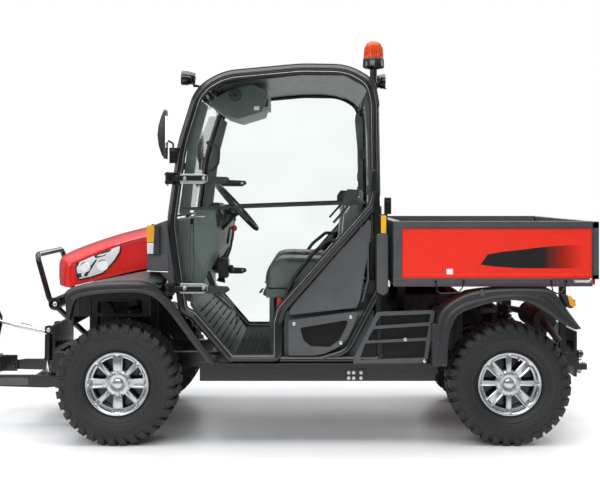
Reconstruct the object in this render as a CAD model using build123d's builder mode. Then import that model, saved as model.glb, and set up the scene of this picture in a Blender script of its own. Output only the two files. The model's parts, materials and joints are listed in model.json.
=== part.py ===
"""Side by side utility vehicle with a closed cab, a cargo box and a front lift.

Millimetres. X runs rearward, -Y is the driver's side, Z is up from the ground.
The origin lies on the ground under the middle of the vehicle's length.
"""
from build123d import *
import os
from math import cos, sin, pi, radians, sqrt

os.makedirs("parts", exist_ok=True)

# ---------------------------------------------------------------- driving sizes
WHEELBASE = 2045
FRONT_REACH = 880            # front axle to the foremost face of the coupler
REAR_REACH = 570             # rear axle to the end of the tow bar
CLEAR = 0.3                  # running gap and seat gap
SWING = 5.0                  # least gap of swinging pieces

TYRE_R = 318
TYRE_W = 254
RIM_R = 152
RIM_W = 190
TRACK_HALF = 600             # middle of each tyre from the centre plane
KINGPIN_Y = 560

RAIL_Y = 250
RAIL_W = 50
RAIL_TOP = 425
RAIL_H = 80
SILL_Y = 660
SILL_W = 50
SILL_H = 92

TUBE_D = 42                  # cab tube
CAB_Y = 679                  # middle of the cab side tubes
DOOR_IN = 705                # inner face of the door
DOOR_T = 15
DOOR_LAP = 6                 # door edge outside the tube's middle line
DOOR_BAND = 30
FLARE_Y = 790
BOX_Y = 745
FLOOR_T = 20
WALL_Y = CAB_Y - TUBE_D / 2 - CLEAR          # half width of what stands between the cab tubes

FA = WHEELBASE * -0.5 + (FRONT_REACH - REAR_REACH) / 2     # front axle
RA = FA + WHEELBASE                                        # rear axle
FLOOR_TOP = RAIL_TOP + FLOOR_T
SIDES = ((-1, "left"), (1, "right"))


# ---------------------------------------------------------------- shape helpers
def block(x, y, z, mode=Mode.ADD):
    """Box between pairs of limits."""
    with Locations((sum(x) / 2, sum(y) / 2, sum(z) / 2)):
        Box(abs(x[1] - x[0]), abs(y[1] - y[0]), abs(z[1] - z[0]), mode=mode)


def plate(points, y, origin_x=0.0, radius=0, mode=Mode.ADD):
    """Side outline of (x, z) points pulled across from y[0] to y[1]."""
    low, high = sorted(y)
    moved = [(px + origin_x, pz) for px, pz in points]
    with BuildSketch(Plane.XZ.offset(-high)) as outline:
        with BuildLine():
            if radius:
                FilletPolyline(*moved, radius=radius, close=True)
            else:
                Polyline(*moved, close=True)
        make_face()
    extrude(outline.sketch, amount=high - low, mode=mode)


def slab(points, z, mode=Mode.ADD):
    """Plan outline of (x, y) points pulled up from z[0] to z[1]."""
    with BuildSketch(Plane.XY.offset(z[0])) as outline:
        with BuildLine():
            Polyline(*points, close=True)
        make_face()
    extrude(outline.sketch, amount=z[1] - z[0], mode=mode)


def tube(points, diameter, bend=0, close=False, mode=Mode.ADD):
    """Round bar along straight runs with rounded corners."""
    with BuildLine() as run:
        if bend:
            FilletPolyline(*points, radius=bend, close=close)
        else:
            Polyline(*points)
    with BuildSketch(Plane(origin=run.line @ 0, z_dir=run.line % 0)) as section:
        Circle(diameter / 2)
    sweep(section.sketch, path=run.line, mode=mode)


def bar_y(x, z, y, radius, mode=Mode.ADD):
    """Cylinder across the vehicle."""
    with Locations(Location((x, (y[0] + y[1]) / 2, z), (90, 0, 0))):
        Cylinder(radius, abs(y[1] - y[0]), mode=mode)


def post(x, y, z, radius, mode=Mode.ADD):
    """Upright cylinder."""
    with Locations((x, y, (z[0] + z[1]) / 2)):
        Cylinder(radius, abs(z[1] - z[0]), mode=mode)


def side(sign, a, b):
    """Limits a..b from the centre plane, on the left or right."""
    return tuple(sorted((sign * a, sign * b)))


def beside(a, b, run, gap):
    """Point (x, z) that lies `run` along the line a to b and `gap` to its right."""
    start, end = Vector(*a), Vector(*b)
    along = (end - start).normalized()
    spot = start + along * run + Vector(along.Y, -along.X) * gap
    return (spot.X, spot.Y)


def save(piece, name):
    piece.part.label = name
    export_step(piece.part, f"parts/{name}.step")


# ---------------------------------------------------------------- chassis
RAIL_Z = (RAIL_TOP - RAIL_H, RAIL_TOP)
RAIL_FRONT = FA - 430
RAIL_REAR = RA + 437
SILL_X = (FA + 430, RA - 385)
OUTRIGGERS = (FA + 450, FA + 900, FA + 1330, FA + 1635)
SHOCK_TOP = 700
SHOCK_Y = 385
SHOCK_BACK = 34                  # shocks stand behind the half shafts
LOWER_Z = 255
UPPER_Z = 395
ARM_D = 26
ARM_SPREAD = 110
BED_PIVOT = (RA + 375, 812)      # x, z
PIVOT_R = 12
BED_SUB_Y = 300
BED_SUB_W = 40
BED_REST_X = FA + 1490
BED_BOTTOM = 834
BED_SUB_Z = (794, BED_BOTTOM)
PIVOT_BOSS = BED_BOTTOM - BED_PIVOT[1] - SWING
GUARD_FOOT = FA - 248
CROSS_T = 20
DIFF_BEARER = 150                # from each axle to the cross member that bears its drive

with BuildPart() as chassis_frame:
    for sign, _ in SIDES:
        rail_y = side(sign, RAIL_Y - RAIL_W / 2, RAIL_Y + RAIL_W / 2)
        block((RAIL_FRONT, RAIL_REAR), rail_y, RAIL_Z)
        sill_y = side(sign, SILL_Y - SILL_W / 2, SILL_Y + SILL_W / 2)
        block(SILL_X, sill_y, (RAIL_TOP - SILL_H, RAIL_TOP))
        for x in OUTRIGGERS:
            block((x, x + 40), side(sign, RAIL_Y, SILL_Y), (RAIL_TOP - 60, RAIL_TOP - 10))
        for axle in (FA, RA):
            # ears under the rail for the lower arms
            for spread in (-ARM_SPREAD, ARM_SPREAD):
                block((axle + spread - 18, axle + spread + 18), side(sign, RAIL_Y - 5, RAIL_Y + RAIL_W / 2),
                      (LOWER_Z - ARM_D / 2, RAIL_Z[0]))
    for x in (RAIL_FRONT, FA - DIFF_BEARER - CROSS_T, FA + DIFF_BEARER, *OUTRIGGERS, RA + DIFF_BEARER,
              RAIL_REAR - CROSS_T):
        block((x, x + CROSS_T), (-RAIL_Y, RAIL_Y), RAIL_Z)
save(chassis_frame, "chassis_frame")

# stands welded on the rails: shock towers, bed rest in front, bed pivot posts behind
with BuildPart() as body_stands:
    for sign, _ in SIDES:
        rail_y = side(sign, RAIL_Y - RAIL_W / 2, RAIL_Y + RAIL_W / 2)
        for axle in (FA, RA):
            tower_x = (axle + SHOCK_BACK - 25, axle + SHOCK_BACK + 25)
            block(tower_x, rail_y, (RAIL_TOP, SHOCK_TOP + 25))
            block(tower_x, side(sign, RAIL_Y, SHOCK_Y + 25), (SHOCK_TOP, SHOCK_TOP + 25))
        block((BED_REST_X, BED_REST_X + 40), rail_y, (RAIL_TOP, BED_SUB_Z[0] - CLEAR))
        px, pz = BED_PIVOT
        boss_y = side(sign, RAIL_Y - 20, RAIL_Y + 20)
        block((px - PIVOT_BOSS, px + PIVOT_BOSS), boss_y, (RAIL_TOP, pz))
        bar_y(px, pz, boss_y, PIVOT_BOSS)
        bar_y(px, pz, side(sign, RAIL_Y, BED_SUB_Y + BED_SUB_W / 2 + 8), PIVOT_R)
    block((BED_REST_X, BED_REST_X + 40), (-BED_SUB_Y - 20, BED_SUB_Y + 20),
          (BED_SUB_Z[0] - 40, BED_SUB_Z[0] - CLEAR))
    for axle in (FA, RA):
        block((axle + SHOCK_BACK - 20, axle + SHOCK_BACK + 20), (-RAIL_Y, RAIL_Y),
              (SHOCK_TOP, SHOCK_TOP + 25))
save(body_stands, "body_stands")

# ---------------------------------------------------------------- floor and seats box
FIREWALL_X = FA + 378
FIREWALL_TOP = 1150
TOE_X = FA + 591
FLOOR_END = FA + 1340
with BuildPart() as floor_pan:
    plate(((FIREWALL_X + 15, FIREWALL_TOP), (FIREWALL_X + 15, 739), (TOE_X, FLOOR_TOP),
           (FLOOR_END, FLOOR_TOP), (FLOOR_END, RAIL_TOP), (TOE_X - 11, RAIL_TOP),
           (FIREWALL_X, 725), (FIREWALL_X, FIREWALL_TOP)), (-WALL_Y, WALL_Y))
save(floor_pan, "floor_pan")

SEAT_BOX_X = (FA + 870, FLOOR_END)
SEAT_PLATE = (755, 800)
SEAT_Y = 330                 # middle of each seat
SEAT_W = 460
with BuildPart() as seat_base:
    block(SEAT_BOX_X, (-WALL_Y + 10, WALL_Y - 10), (FLOOR_TOP, SEAT_PLATE[0] - 60))
    for sign, _ in SIDES:
        seat_y = side(sign, SEAT_Y - SEAT_W / 2 + 15, SEAT_Y + SEAT_W / 2 - 15)
        block((SEAT_BOX_X[0] - 100, FLOOR_END), seat_y, SEAT_PLATE)
        block((SEAT_BOX_X[0] + 40, FLOOR_END), seat_y, (SEAT_PLATE[0] - 60, SEAT_PLATE[0]))
        for leg_y in (SEAT_Y - SEAT_W / 2 + 40, SEAT_Y + SEAT_W / 2 - 40):
            post(SEAT_BOX_X[0] - 67, sign * leg_y, (FLOOR_TOP, SEAT_PLATE[0]), 16)
save(seat_base, "seat_base")

CUSHION_X = (FA + 762, FA + 1165)
CUSHION_Z = (SEAT_PLATE[1] + CLEAR, 955)
BACK_FOOT = FA + 1168
BACK_TOP = (FA + 1215, 1335)
BACK_T = 110
for sign, name in ((-1, "driver"), (1, "passenger")):
    seat_y = side(sign, SEAT_Y - SEAT_W / 2, SEAT_Y + SEAT_W / 2)
    with BuildPart() as cushion:
        plate(((CUSHION_X[0], CUSHION_Z[0] + 30), (CUSHION_X[0] + 10, CUSHION_Z[1] - 10),
               (CUSHION_X[0] + 40, CUSHION_Z[1]), (CUSHION_X[1], CUSHION_Z[1] - 25),
               (CUSHION_X[1], CUSHION_Z[0]), (CUSHION_X[0] + 20, CUSHION_Z[0])), seat_y)
    save(cushion, f"{name}_cushion")
    with BuildPart() as backrest:
        plate(((BACK_FOOT, CUSHION_Z[0]), (BACK_FOOT, 960), (BACK_TOP[0], BACK_TOP[1]),
               (BACK_TOP[0] + BACK_T - 20, BACK_TOP[1]), (BACK_FOOT + BACK_T, 900),
               (BACK_FOOT + BACK_T - 10, CUSHION_Z[0])), seat_y)
    save(backrest, f"{name}_backrest")

# ---------------------------------------------------------------- power pack
ENGINE_X = (FA + 1400, RA - 185)
ENGINE_TOP = 750
with BuildPart() as engine_block:
    block(ENGINE_X, (-RAIL_Y + 5, RAIL_Y - 5), (RAIL_TOP + CLEAR, ENGINE_TOP))
    for sign, _ in SIDES:
        block((BED_REST_X - SWING, BED_REST_X + 40 + SWING), side(sign, RAIL_Y - RAIL_W, RAIL_Y),
              (RAIL_TOP, ENGINE_TOP + 1), Mode.SUBTRACT)
save(engine_block, "engine_block")

BUSH_R = 16
ARM_INNER = RAIL_Y + RAIL_W / 2 + BUSH_R + CLEAR      # middle of the arms' bushes
DIFF_Z = (250, 390)
CARRIER_HALF = 28
CARRIER_IN = KINGPIN_Y - 30
STEER_REACH = sqrt(CARRIER_HALF ** 2 + (KINGPIN_Y - CARRIER_IN) ** 2)
with BuildPart() as drive_units:
    for axle, length, front in ((FA, 130, DIFF_BEARER - CLEAR), (RA, 190, 95)):
        block((axle - length / 2, axle + length / 2), (-110, 110), DIFF_Z)
        block((axle - front, axle + DIFF_BEARER - CLEAR), (-60, 60), (DIFF_Z[1] - 30, DIFF_Z[1] - 5))
        for sign, _ in SIDES:
            shaft_end = KINGPIN_Y - STEER_REACH - SWING if axle == FA else CARRIER_IN - CLEAR
            bar_y(axle, TYRE_R, side(sign, 100, shaft_end), 14)
save(drive_units, "drive_units")

MUFFLER = (RA + 282, 594, 31)
with BuildPart() as muffler:
    bar_y(MUFFLER[0], MUFFLER[1], (-210, 210), 70)
    for sign, _ in SIDES:
        block((MUFFLER[0] - 10, MUFFLER[0] + 10), side(sign, 195, RAIL_Y - RAIL_W / 2 - CLEAR),
              (RAIL_TOP - 75, MUFFLER[1] - 20))
save(muffler, "muffler")

# ---------------------------------------------------------------- suspension
EYE_H = 30
CARRIER_Z = (LOWER_Z + EYE_H / 2 + CLEAR, UPPER_Z - EYE_H / 2 - CLEAR)
BUSH_L = 36
with BuildPart() as suspension_arms:
    for sign, _ in SIDES:
        for axle in (FA, RA):
            for z in (LOWER_Z, UPPER_Z):
                tip = (axle, sign * KINGPIN_Y, z)
                for spread in (-ARM_SPREAD, ARM_SPREAD):
                    tube((tip, (axle + spread, sign * ARM_INNER, z)), ARM_D)
                    with Locations(Location((axle + spread, sign * ARM_INNER, z), (0, 90, 0))):
                        Cylinder(BUSH_R, BUSH_L)
                post(axle, tip[1], (z - EYE_H / 2, z + EYE_H / 2), 20)
            # shock seat between the legs of the lower arm
            half = ARM_SPREAD * (KINGPIN_Y - SHOCK_Y) / (KINGPIN_Y - ARM_INNER)
            block((axle - half, axle + half), side(sign, SHOCK_Y - 18, SHOCK_Y + 18),
                  (LOWER_Z - 10, LOWER_Z + 10))
save(suspension_arms, "suspension_arms")

SPRING_R = 33
SPRING_Z = (450, SHOCK_TOP - 30)
with BuildPart() as spring_dampers:
    for sign, _ in SIDES:
        for axle in (FA, RA):
            x = axle + SHOCK_BACK
            post(x, sign * SHOCK_Y, (LOWER_Z + 10 + CLEAR, SHOCK_TOP - CLEAR), 12)
            post(x, sign * SHOCK_Y, SPRING_Z, SPRING_R)
save(spring_dampers, "spring_dampers")


# ---------------------------------------------------------------- wheels
HUB_R = 24
HUB_FACE = TRACK_HALF + 45       # the rim's hub pad seats here


def carrier(sign, axle):
    """Upright that carries the hub, with its stub through the rim's bore."""
    block((axle - CARRIER_HALF, axle + CARRIER_HALF), side(sign, CARRIER_IN, KINGPIN_Y + 25),
          CARRIER_Z)
    bar_y(axle, TYRE_R, side(sign, KINGPIN_Y + 25, HUB_FACE - CLEAR), 70)
    bar_y(axle, TYRE_R, side(sign, KINGPIN_Y, HUB_FACE + 22), HUB_R)


for sign, name in SIDES:
    with BuildPart() as knuckle:
        carrier(sign, FA)
    save(knuckle, f"knuckle_{name}")

with BuildPart() as rear_carriers:
    for sign, _ in SIDES:
        carrier(sign, RA)
save(rear_carriers, "rear_carriers")

RIM_IN_R = RIM_R - 10
FLANGE_R = 166
# half section of the rim: (radius, distance outboard of the tyre's middle)
BARREL = ((RIM_IN_R, -RIM_W / 2), (FLANGE_R, -RIM_W / 2), (FLANGE_R, -RIM_W / 2 + 8),
          (RIM_R, -RIM_W / 2 + 8), (RIM_R, RIM_W / 2 - 8), (FLANGE_R, RIM_W / 2 - 8),
          (FLANGE_R, RIM_W / 2), (RIM_IN_R, RIM_W / 2))
DISC = (45, 66)                  # hub pad and spokes, outboard of the tyre's middle
BEAD_HALF = RIM_W / 2 - 8 - CLEAR    # half width of the tyre between the rim's flanges
LUG_H = 13
LUGS = 33
LUG_SHARE = 0.56                 # of the pitch, at a lug's tip
LUG_SLOPE = 0.06                 # of the pitch, on each side of a lug
TREAD_HALF = TYRE_W / 2 - 12
ROOT_R = TYRE_R - LUG_H
SHOULDER_R = 268
SIDEWALL_R = 232
FACETS = 36                      # flats round the tyre's sidewalls and bead
WINDOW_R = (87, 130)


def wheel_profile(points, axle, sign):
    """Face in the vertical plane through the axle; radius runs up."""
    with BuildSketch(Plane(origin=(axle, sign * TRACK_HALF, TYRE_R),
                           x_dir=(0, sign, 0), z_dir=(sign, 0, 0))) as half:
        with BuildLine():
            Polyline(*[(out, r) for r, out in points], close=True)
        make_face()
    revolve(half.sketch, axis=Axis((axle, 0, TYRE_R), (0, 1, 0)))


def tread_outline(lead):
    """Corners of the lugs and grooves round the tread; lead is a share of the pitch."""
    points = []
    for k in range(LUGS):
        for share, r in ((0, TYRE_R), (LUG_SHARE, TYRE_R), (LUG_SHARE + LUG_SLOPE, ROOT_R),
                         (1 - LUG_SLOPE, ROOT_R)):
            turn = 2 * pi * (k + lead + share) / LUGS - pi / 2
            points.append((r * cos(turn), r * sin(turn)))
    return points


def ring_face(plane, out, radius):
    """Many-sided face about the axle, so far out of the tyre's middle plane."""
    with BuildSketch(plane.offset(out)) as ring:
        RegularPolygon(radius, FACETS)
    return ring.sketch


def tyre_half(plane, lead):
    """Tread and sidewall on one side of the tyre's middle plane, hollowed for the rim's flange."""
    with BuildSketch(plane) as tread:
        with BuildLine():
            Polyline(*tread_outline(lead), close=True)
        make_face()
    with BuildSketch(plane) as bore:
        RegularPolygon(RIM_R + CLEAR, FACETS, major_radius=False)
    extrude(tread.sketch, amount=TREAD_HALF)
    loft([ring_face(plane, TREAD_HALF, ROOT_R), ring_face(plane, TYRE_W / 2, SHOULDER_R)], ruled=True)
    loft([ring_face(plane, BEAD_HALF, FLANGE_R + 6), ring_face(plane, TYRE_W / 2, SIDEWALL_R)],
         ruled=True, mode=Mode.SUBTRACT)
    extrude(bore.sketch, amount=TYRE_W, mode=Mode.SUBTRACT)


for end, axle in (("front", FA), ("rear", RA)):
    for sign, name in SIDES:
        with BuildPart() as rim:
            wheel_profile(BARREL, axle, sign)
            disc_y = side(sign, TRACK_HALF + DISC[0], TRACK_HALF + DISC[1])
            bar_y(axle, TYRE_R, disc_y, RIM_IN_R + 1)
            bar_y(axle, TYRE_R, disc_y, HUB_R + CLEAR, Mode.SUBTRACT)
            for k in range(8):
                turn = radians(45 * k + 22.5)
                mid = sum(WINDOW_R) / 2
                with Locations(Location((axle + mid * cos(turn), sign * (TRACK_HALF + sum(DISC) / 2),
                                         TYRE_R + mid * sin(turn)), (0, -45 * k - 22.5, 0))):
                    Box(WINDOW_R[1] - WINDOW_R[0], 40, 38, mode=Mode.SUBTRACT)
        save(rim, f"rim_{end}_{name}")
        with BuildPart() as tyre:
            for out, lead in ((-1, 0), (1, -LUG_SHARE)):
                tyre_half(Plane(origin=(axle, sign * TRACK_HALF, TYRE_R), x_dir=(-out, 0, 0),
                                z_dir=(0, out, 0)), lead)
        save(tyre, f"tyre_{end}_{name}")

# ---------------------------------------------------------------- nose, hood, cowl
HOOD_REAR = FA + 146
HOOD_W = 490
CROWN = ((-417, 940), (-371, 976), (-283, 1011), (-166, 1052), (-49, 1087), (74, 1116), (146, 1128))
HOOD_LOW = ((146, 905), (79, 894), (-276, 808), (-425, 800))
HOOD_T = 10
CREASE_Z = 815                   # the crease and the ridge where the crown's arch meets the plane
HOOD_RIDGE = 882                 # 600 mm before the axle


def hood_solid(inset):
    """Hood block: side outline, bowed plan and arched top, all inset alike."""
    with BuildPart() as body:
        top = [(x + (inset if k == 0 else 0), z - inset) for k, (x, z) in enumerate(CROWN)]
        low = [(x, z - (0 if inset == 0 else 60)) for x, z in HOOD_LOW]
        plate(top + low, (-HOOD_W + inset, HOOD_W - inset), FA)
        reach = 417 - inset
        with BuildSketch(Plane.XY.offset(600)) as plan:
            with BuildLine():
                front = ThreePointArc((FA - 290, -HOOD_W + inset), (FA - reach, 0),
                                      (FA - 290, HOOD_W - inset))
                Polyline(front @ 1, (FA + 200, HOOD_W - inset), (FA + 200, -HOOD_W + inset),
                         front @ 0)
            make_face()
        extrude(amount=700, mode=Mode.INTERSECT)
        with BuildSketch(Plane.YZ.offset(FA - 600)):
            with BuildLine():
                crown = ThreePointArc((-HOOD_W + 45, CREASE_Z + 35 - inset), (0, HOOD_RIDGE - inset),
                                      (HOOD_W - 45, CREASE_Z + 35 - inset))
                Polyline(crown @ 1, (HOOD_W - inset, CREASE_Z - inset), (HOOD_W - inset, 300),
                         (-HOOD_W + inset, 300), (-HOOD_W + inset, CREASE_Z - inset), crown @ 0)
            make_face()
        extrude(amount=1100, dir=(cos(radians(18.5)), 0, sin(radians(18.5))), mode=Mode.INTERSECT)
    return body.part


HOOD_PIVOT = (FA + 142, 1126)     # x, z
HOOD_BARREL_R = 7
HOOD_PIN_R = 3.5
HOOD_EYE = (191, 229)
HOOD_LUGS = ((178, 190), (230, 242))
with BuildPart() as hood:
    add(hood_solid(0))
    add(hood_solid(HOOD_T), mode=Mode.SUBTRACT)
    for sign, _ in SIDES:
        block((HOOD_PIVOT[0] - 14, HOOD_REAR + 1), side(sign, HOOD_LUGS[0][0] - 3, HOOD_LUGS[1][1] + 3),
              (1090, 1140), Mode.SUBTRACT)
        block((HOOD_PIVOT[0] - 24, HOOD_PIVOT[0]), side(sign, *HOOD_EYE),
              (HOOD_PIVOT[1] - 6, HOOD_PIVOT[1] - 1))
        block((HOOD_PIVOT[0] - 24, HOOD_PIVOT[0] - 14), side(sign, *HOOD_EYE),
              (HOOD_PIVOT[1] - 26, HOOD_PIVOT[1] - 1))
        bar_y(*HOOD_PIVOT, side(sign, *HOOD_EYE), HOOD_BARREL_R)
        bar_y(*HOOD_PIVOT, side(sign, HOOD_EYE[0] - 1, HOOD_EYE[1] + 1), HOOD_PIN_R + CLEAR, Mode.SUBTRACT)
save(hood, "hood")

NOSE_X = FA - 285
NOSE_Z = (600, 790)
NOSE_Y = 470
FLARE_ROOT = 705
FENDER_IN = NOSE_Y - 12
# tops of the inner fenders: (x from the axle, z)
FENDER_TOP = ((-276, 785), (-119, 822), (34, 832), (140, 838), (235, 860), (235, 848), (140, 826),
              (34, 820), (-119, 810), (-276, 773))
with BuildPart() as front_body:
    block((NOSE_X, NOSE_X + 12), (-NOSE_Y, NOSE_Y), NOSE_Z)
    for k in range(4):
        z = 625 + 36 * k
        block((NOSE_X - 1, NOSE_X + 13), (-400, 400), (z, z + 20), Mode.SUBTRACT)
    for sign, _ in SIDES:
        block((NOSE_X, FA + 140), side(sign, FENDER_IN, NOSE_Y), (645, 790))
        block((NOSE_X, FA + SHOCK_BACK + 25), side(sign, RAIL_Y - 20, NOSE_Y),
              (SHOCK_TOP + 25 + CLEAR, SHOCK_TOP + 37))
        plate(FENDER_TOP, side(sign, FENDER_IN, FLARE_ROOT - CLEAR), FA)
save(front_body, "front_body")

COWL_X = (FA + 152, FIREWALL_X - CLEAR)
with BuildPart() as cowl:
    front, back = COWL_X
    plate(((front, 905), (front, 1133), (front + 110, 1172), (back, 1178), (back, 745),
           (back - 12, 745), (front + 60, 905)), (-WALL_Y + 3, WALL_Y - 3))
    plate(((front + 12, 800), (front + 12, 1121), (front + 112, 1160), (back - 12, 1166),
           (back - 12, 700)), (-WALL_Y + 15, WALL_Y - 15), mode=Mode.SUBTRACT)
    for sign, _ in SIDES:
        for lug in HOOD_LUGS:
            block((HOOD_PIVOT[0] - 6, front + 4), side(sign, *lug),
                  (HOOD_PIVOT[1] - 6, HOOD_PIVOT[1] + 6))
        bar_y(*HOOD_PIVOT, side(sign, HOOD_LUGS[0][0] + 2, HOOD_LUGS[1][1] - 2), HOOD_PIN_R)
save(cowl, "cowl")

# flare outline: (x from the axle, z from the ground)
FLARE_OUT = ((-242, 664), (-252, 802), (-237, 817), (-119, 848), (34, 858), (137, 858), (188, 843),
             (239, 807), (290, 751), (520, 419))
FLARE_IN = ((469, 434), (239, 741), (188, 782), (137, 802), (-68, 797), (-196, 771), (-225, 664))
with BuildPart() as front_flares:
    plate(FLARE_OUT + FLARE_IN, (FLARE_ROOT, FLARE_Y), FA)
    slab(((FA + 150, FLARE_Y), (FA + 250, 718), (FA + 540, 718), (FA + 540, FLARE_Y + 5),
          (FA + 150, FLARE_Y + 5)), (400, 900), Mode.SUBTRACT)
    mirror(about=Plane.XZ)
save(front_flares, "front_flares")

# ---------------------------------------------------------------- rear fenders
REAR_OUT = ((-416, RAIL_TOP + CLEAR), (-385, 705), (-221, 812), (-68, 824), (205, 824), (222, 812),
            (280, 715), (356, 618))
REAR_IN = ((315, 613), (239, 649), (162, 705), (85, 751), (9, 766), (-68, 761), (-170, 730),
           (-247, 705), (-298, 664), (-324, 587), (-334, RAIL_TOP + CLEAR))
with BuildPart() as rear_fenders:
    plate(REAR_OUT + REAR_IN, (650, FLARE_Y), RA)
    mirror(about=Plane.XZ)
save(rear_fenders, "rear_fenders")

# ---------------------------------------------------------------- cab
TUBE_R = TUBE_D / 2
SILL_LINE = RAIL_TOP + CLEAR + TUBE_R
# middle line of the door opening's tube: (x from the front axle, z)
CAB_LOOP = ((843, SILL_LINE), (592, SILL_LINE), (398, 672), (340, 700), (279, 1160), (335, 1560),
            (425, 1850), (560, 1930), (960, 1967), (1200, 1963), (1325, 1890), (1345, 1780),
            (1352, 1300), (1336, 1240), (862, 705), (843, 640))
CAB_BENDS = 25
ROOF_CROSS_FRONT = (438, 1857)
ROOF_CROSS_REAR = (1329, 1868)
PILLAR_FOOT = (1372, SILL_LINE)
PILLAR_HEAD = (1350, 1270)
PILLAR_R = TUBE_R - 1
CROSS_R = TUBE_R - 1
FOOT_CROSS = (PILLAR_FOOT[0] - 6, SILL_LINE + 1)
FOOT_CROSS_R = TUBE_R - 3
# tube that sweeps from the rear pillar forward to the sill, a little thinner than the cab's
SWEEP_D = TUBE_D - 4
SWEEP = ((PILLAR_HEAD[0] + 12, 803), (1197, 487), (1060, SILL_LINE + 1))
SWEEP_BEND = 120
HINGE = (FA + 270, 735)          # x, distance from the centre plane
HINGE_ZS = (1390, 816)
STRAP_END = FA + 473
STRAP_H = 28
PIN_R = 6
LUG_X = (HINGE[0] - 14, HINGE[0] + 7)
with BuildPart() as cab_frame:
    for sign, _ in SIDES:
        loop = [(FA + x, sign * CAB_Y, z) for x, z in CAB_LOOP]
        tube(loop, TUBE_D, CAB_BENDS, close=True)
        tube(((FA + PILLAR_HEAD[0], sign * CAB_Y, PILLAR_HEAD[1]),
              (FA + PILLAR_FOOT[0], sign * CAB_Y, SILL_LINE),
              (FA + 850, sign * CAB_Y, SILL_LINE)), 2 * PILLAR_R, CAB_BENDS)
        tube([(FA + x, sign * CAB_Y, z) for x, z in SWEEP], SWEEP_D, SWEEP_BEND)
    for x, z in (ROOF_CROSS_FRONT, ROOF_CROSS_REAR):
        bar_y(FA + x, z, (-CAB_Y + 8, CAB_Y - 8), CROSS_R)
    bar_y(FA + FOOT_CROSS[0], FOOT_CROSS[1], (-CAB_Y + 8, CAB_Y - 8), FOOT_CROSS_R)
    # door hinge lugs and pins
    for sign, _ in SIDES:
        for z in HINGE_ZS:
            for edge in (-1, 1):
                base = z + edge * (STRAP_H / 2 + 1)
                lug = ((LUG_X[0], HINGE[1] + 12), (LUG_X[1], HINGE[1] + 12), (LUG_X[1], 695),
                       (LUG_X[1] + 46, 695), (LUG_X[1] + 46, CAB_Y - 3), (LUG_X[0], CAB_Y - 3))
                slab([(x, sign * y) for x, y in lug], sorted((base, base + edge * 8)))
            post(HINGE[0], sign * HINGE[1], (z - STRAP_H / 2 - 2, z + STRAP_H / 2 + 2), PIN_R)
save(cab_frame, "cab_frame")

PANEL_Y = (WALL_Y, CAB_Y + TUBE_R - 5)
ROOF = ((462, 1886), (566, 1938), (962, 1992), (1200, 1988), (1300, 1925), (1300, 1895),
        (1190, 1958), (962, 1962), (572, 1908), (462, 1870))
with BuildPart() as roof_panel:
    plate(ROOF, (-WALL_Y, WALL_Y), FA)
save(roof_panel, "roof_panel")

GLASS_T = 6
SCREEN = ((282, 1185), (332, 1560), (421, 1834))
with BuildPart() as windshield:
    outer = [(x, z) for x, z in SCREEN]
    inner = [(x + GLASS_T, z) for x, z in reversed(SCREEN)]
    plate(outer + inner, (-WALL_Y, WALL_Y), FA)
save(windshield, "windshield")

BACK_X = (FA + 1362, FA + 1380)
BACK_SPLIT = 1245
with BuildPart() as rear_wall:
    block(BACK_X, (-WALL_Y, WALL_Y), (FOOT_CROSS[1] + FOOT_CROSS_R + CLEAR, BACK_SPLIT))
save(rear_wall, "rear_wall")

with BuildPart() as rear_window:
    plate(((1362, BACK_SPLIT + CLEAR), (1345, 1785), (1336, 1840), (1342, 1840), (1351, 1785),
           (1368, BACK_SPLIT + CLEAR)), (-WALL_Y, WALL_Y), FA)
save(rear_window, "rear_window")

# ---------------------------------------------------------------- doors
DOOR_Y = (DOOR_IN, DOOR_IN + DOOR_T)


def door_face(grow):
    """Outline of the door opening moved out from the tube's middle line."""
    with BuildSketch(Plane.XZ) as outline:
        with BuildLine():
            FilletPolyline(*[(FA + x, z) for x, z in CAB_LOOP], radius=CAB_BENDS, close=True)
        make_face()
        offset(amount=grow, kind=Kind.INTERSECTION)
    return outline.sketch


for sign, name in SIDES:
    inner_y = DOOR_IN if sign < 0 else -DOOR_IN - DOOR_T
    with BuildPart() as door:
        with BuildSketch(Plane.XZ.offset(inner_y)) as band:
            add(door_face(DOOR_LAP))
            add(door_face(DOOR_LAP - DOOR_BAND), mode=Mode.SUBTRACT)
        extrude(band.sketch, amount=DOOR_T)
        for z in HINGE_ZS:
            block((HINGE[0], STRAP_END), side(sign, DOOR_Y[1], DOOR_Y[1] + 10),
                  (z - STRAP_H / 2, z + STRAP_H / 2))
            post(HINGE[0], sign * HINGE[1], (z - STRAP_H / 2, z + STRAP_H / 2), 12)
            post(HINGE[0], sign * HINGE[1], (z - STRAP_H / 2, z + STRAP_H / 2), PIN_R + CLEAR,
                 Mode.SUBTRACT)
    save(door, f"door_{name}")
    with BuildPart() as pane:
        with BuildSketch(Plane.XZ.offset(inner_y + 5)) as face:
            add(door_face(DOOR_LAP - DOOR_BAND - CLEAR))
        extrude(face.sketch, amount=5)
    save(pane, f"door_glass_{name}")

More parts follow.
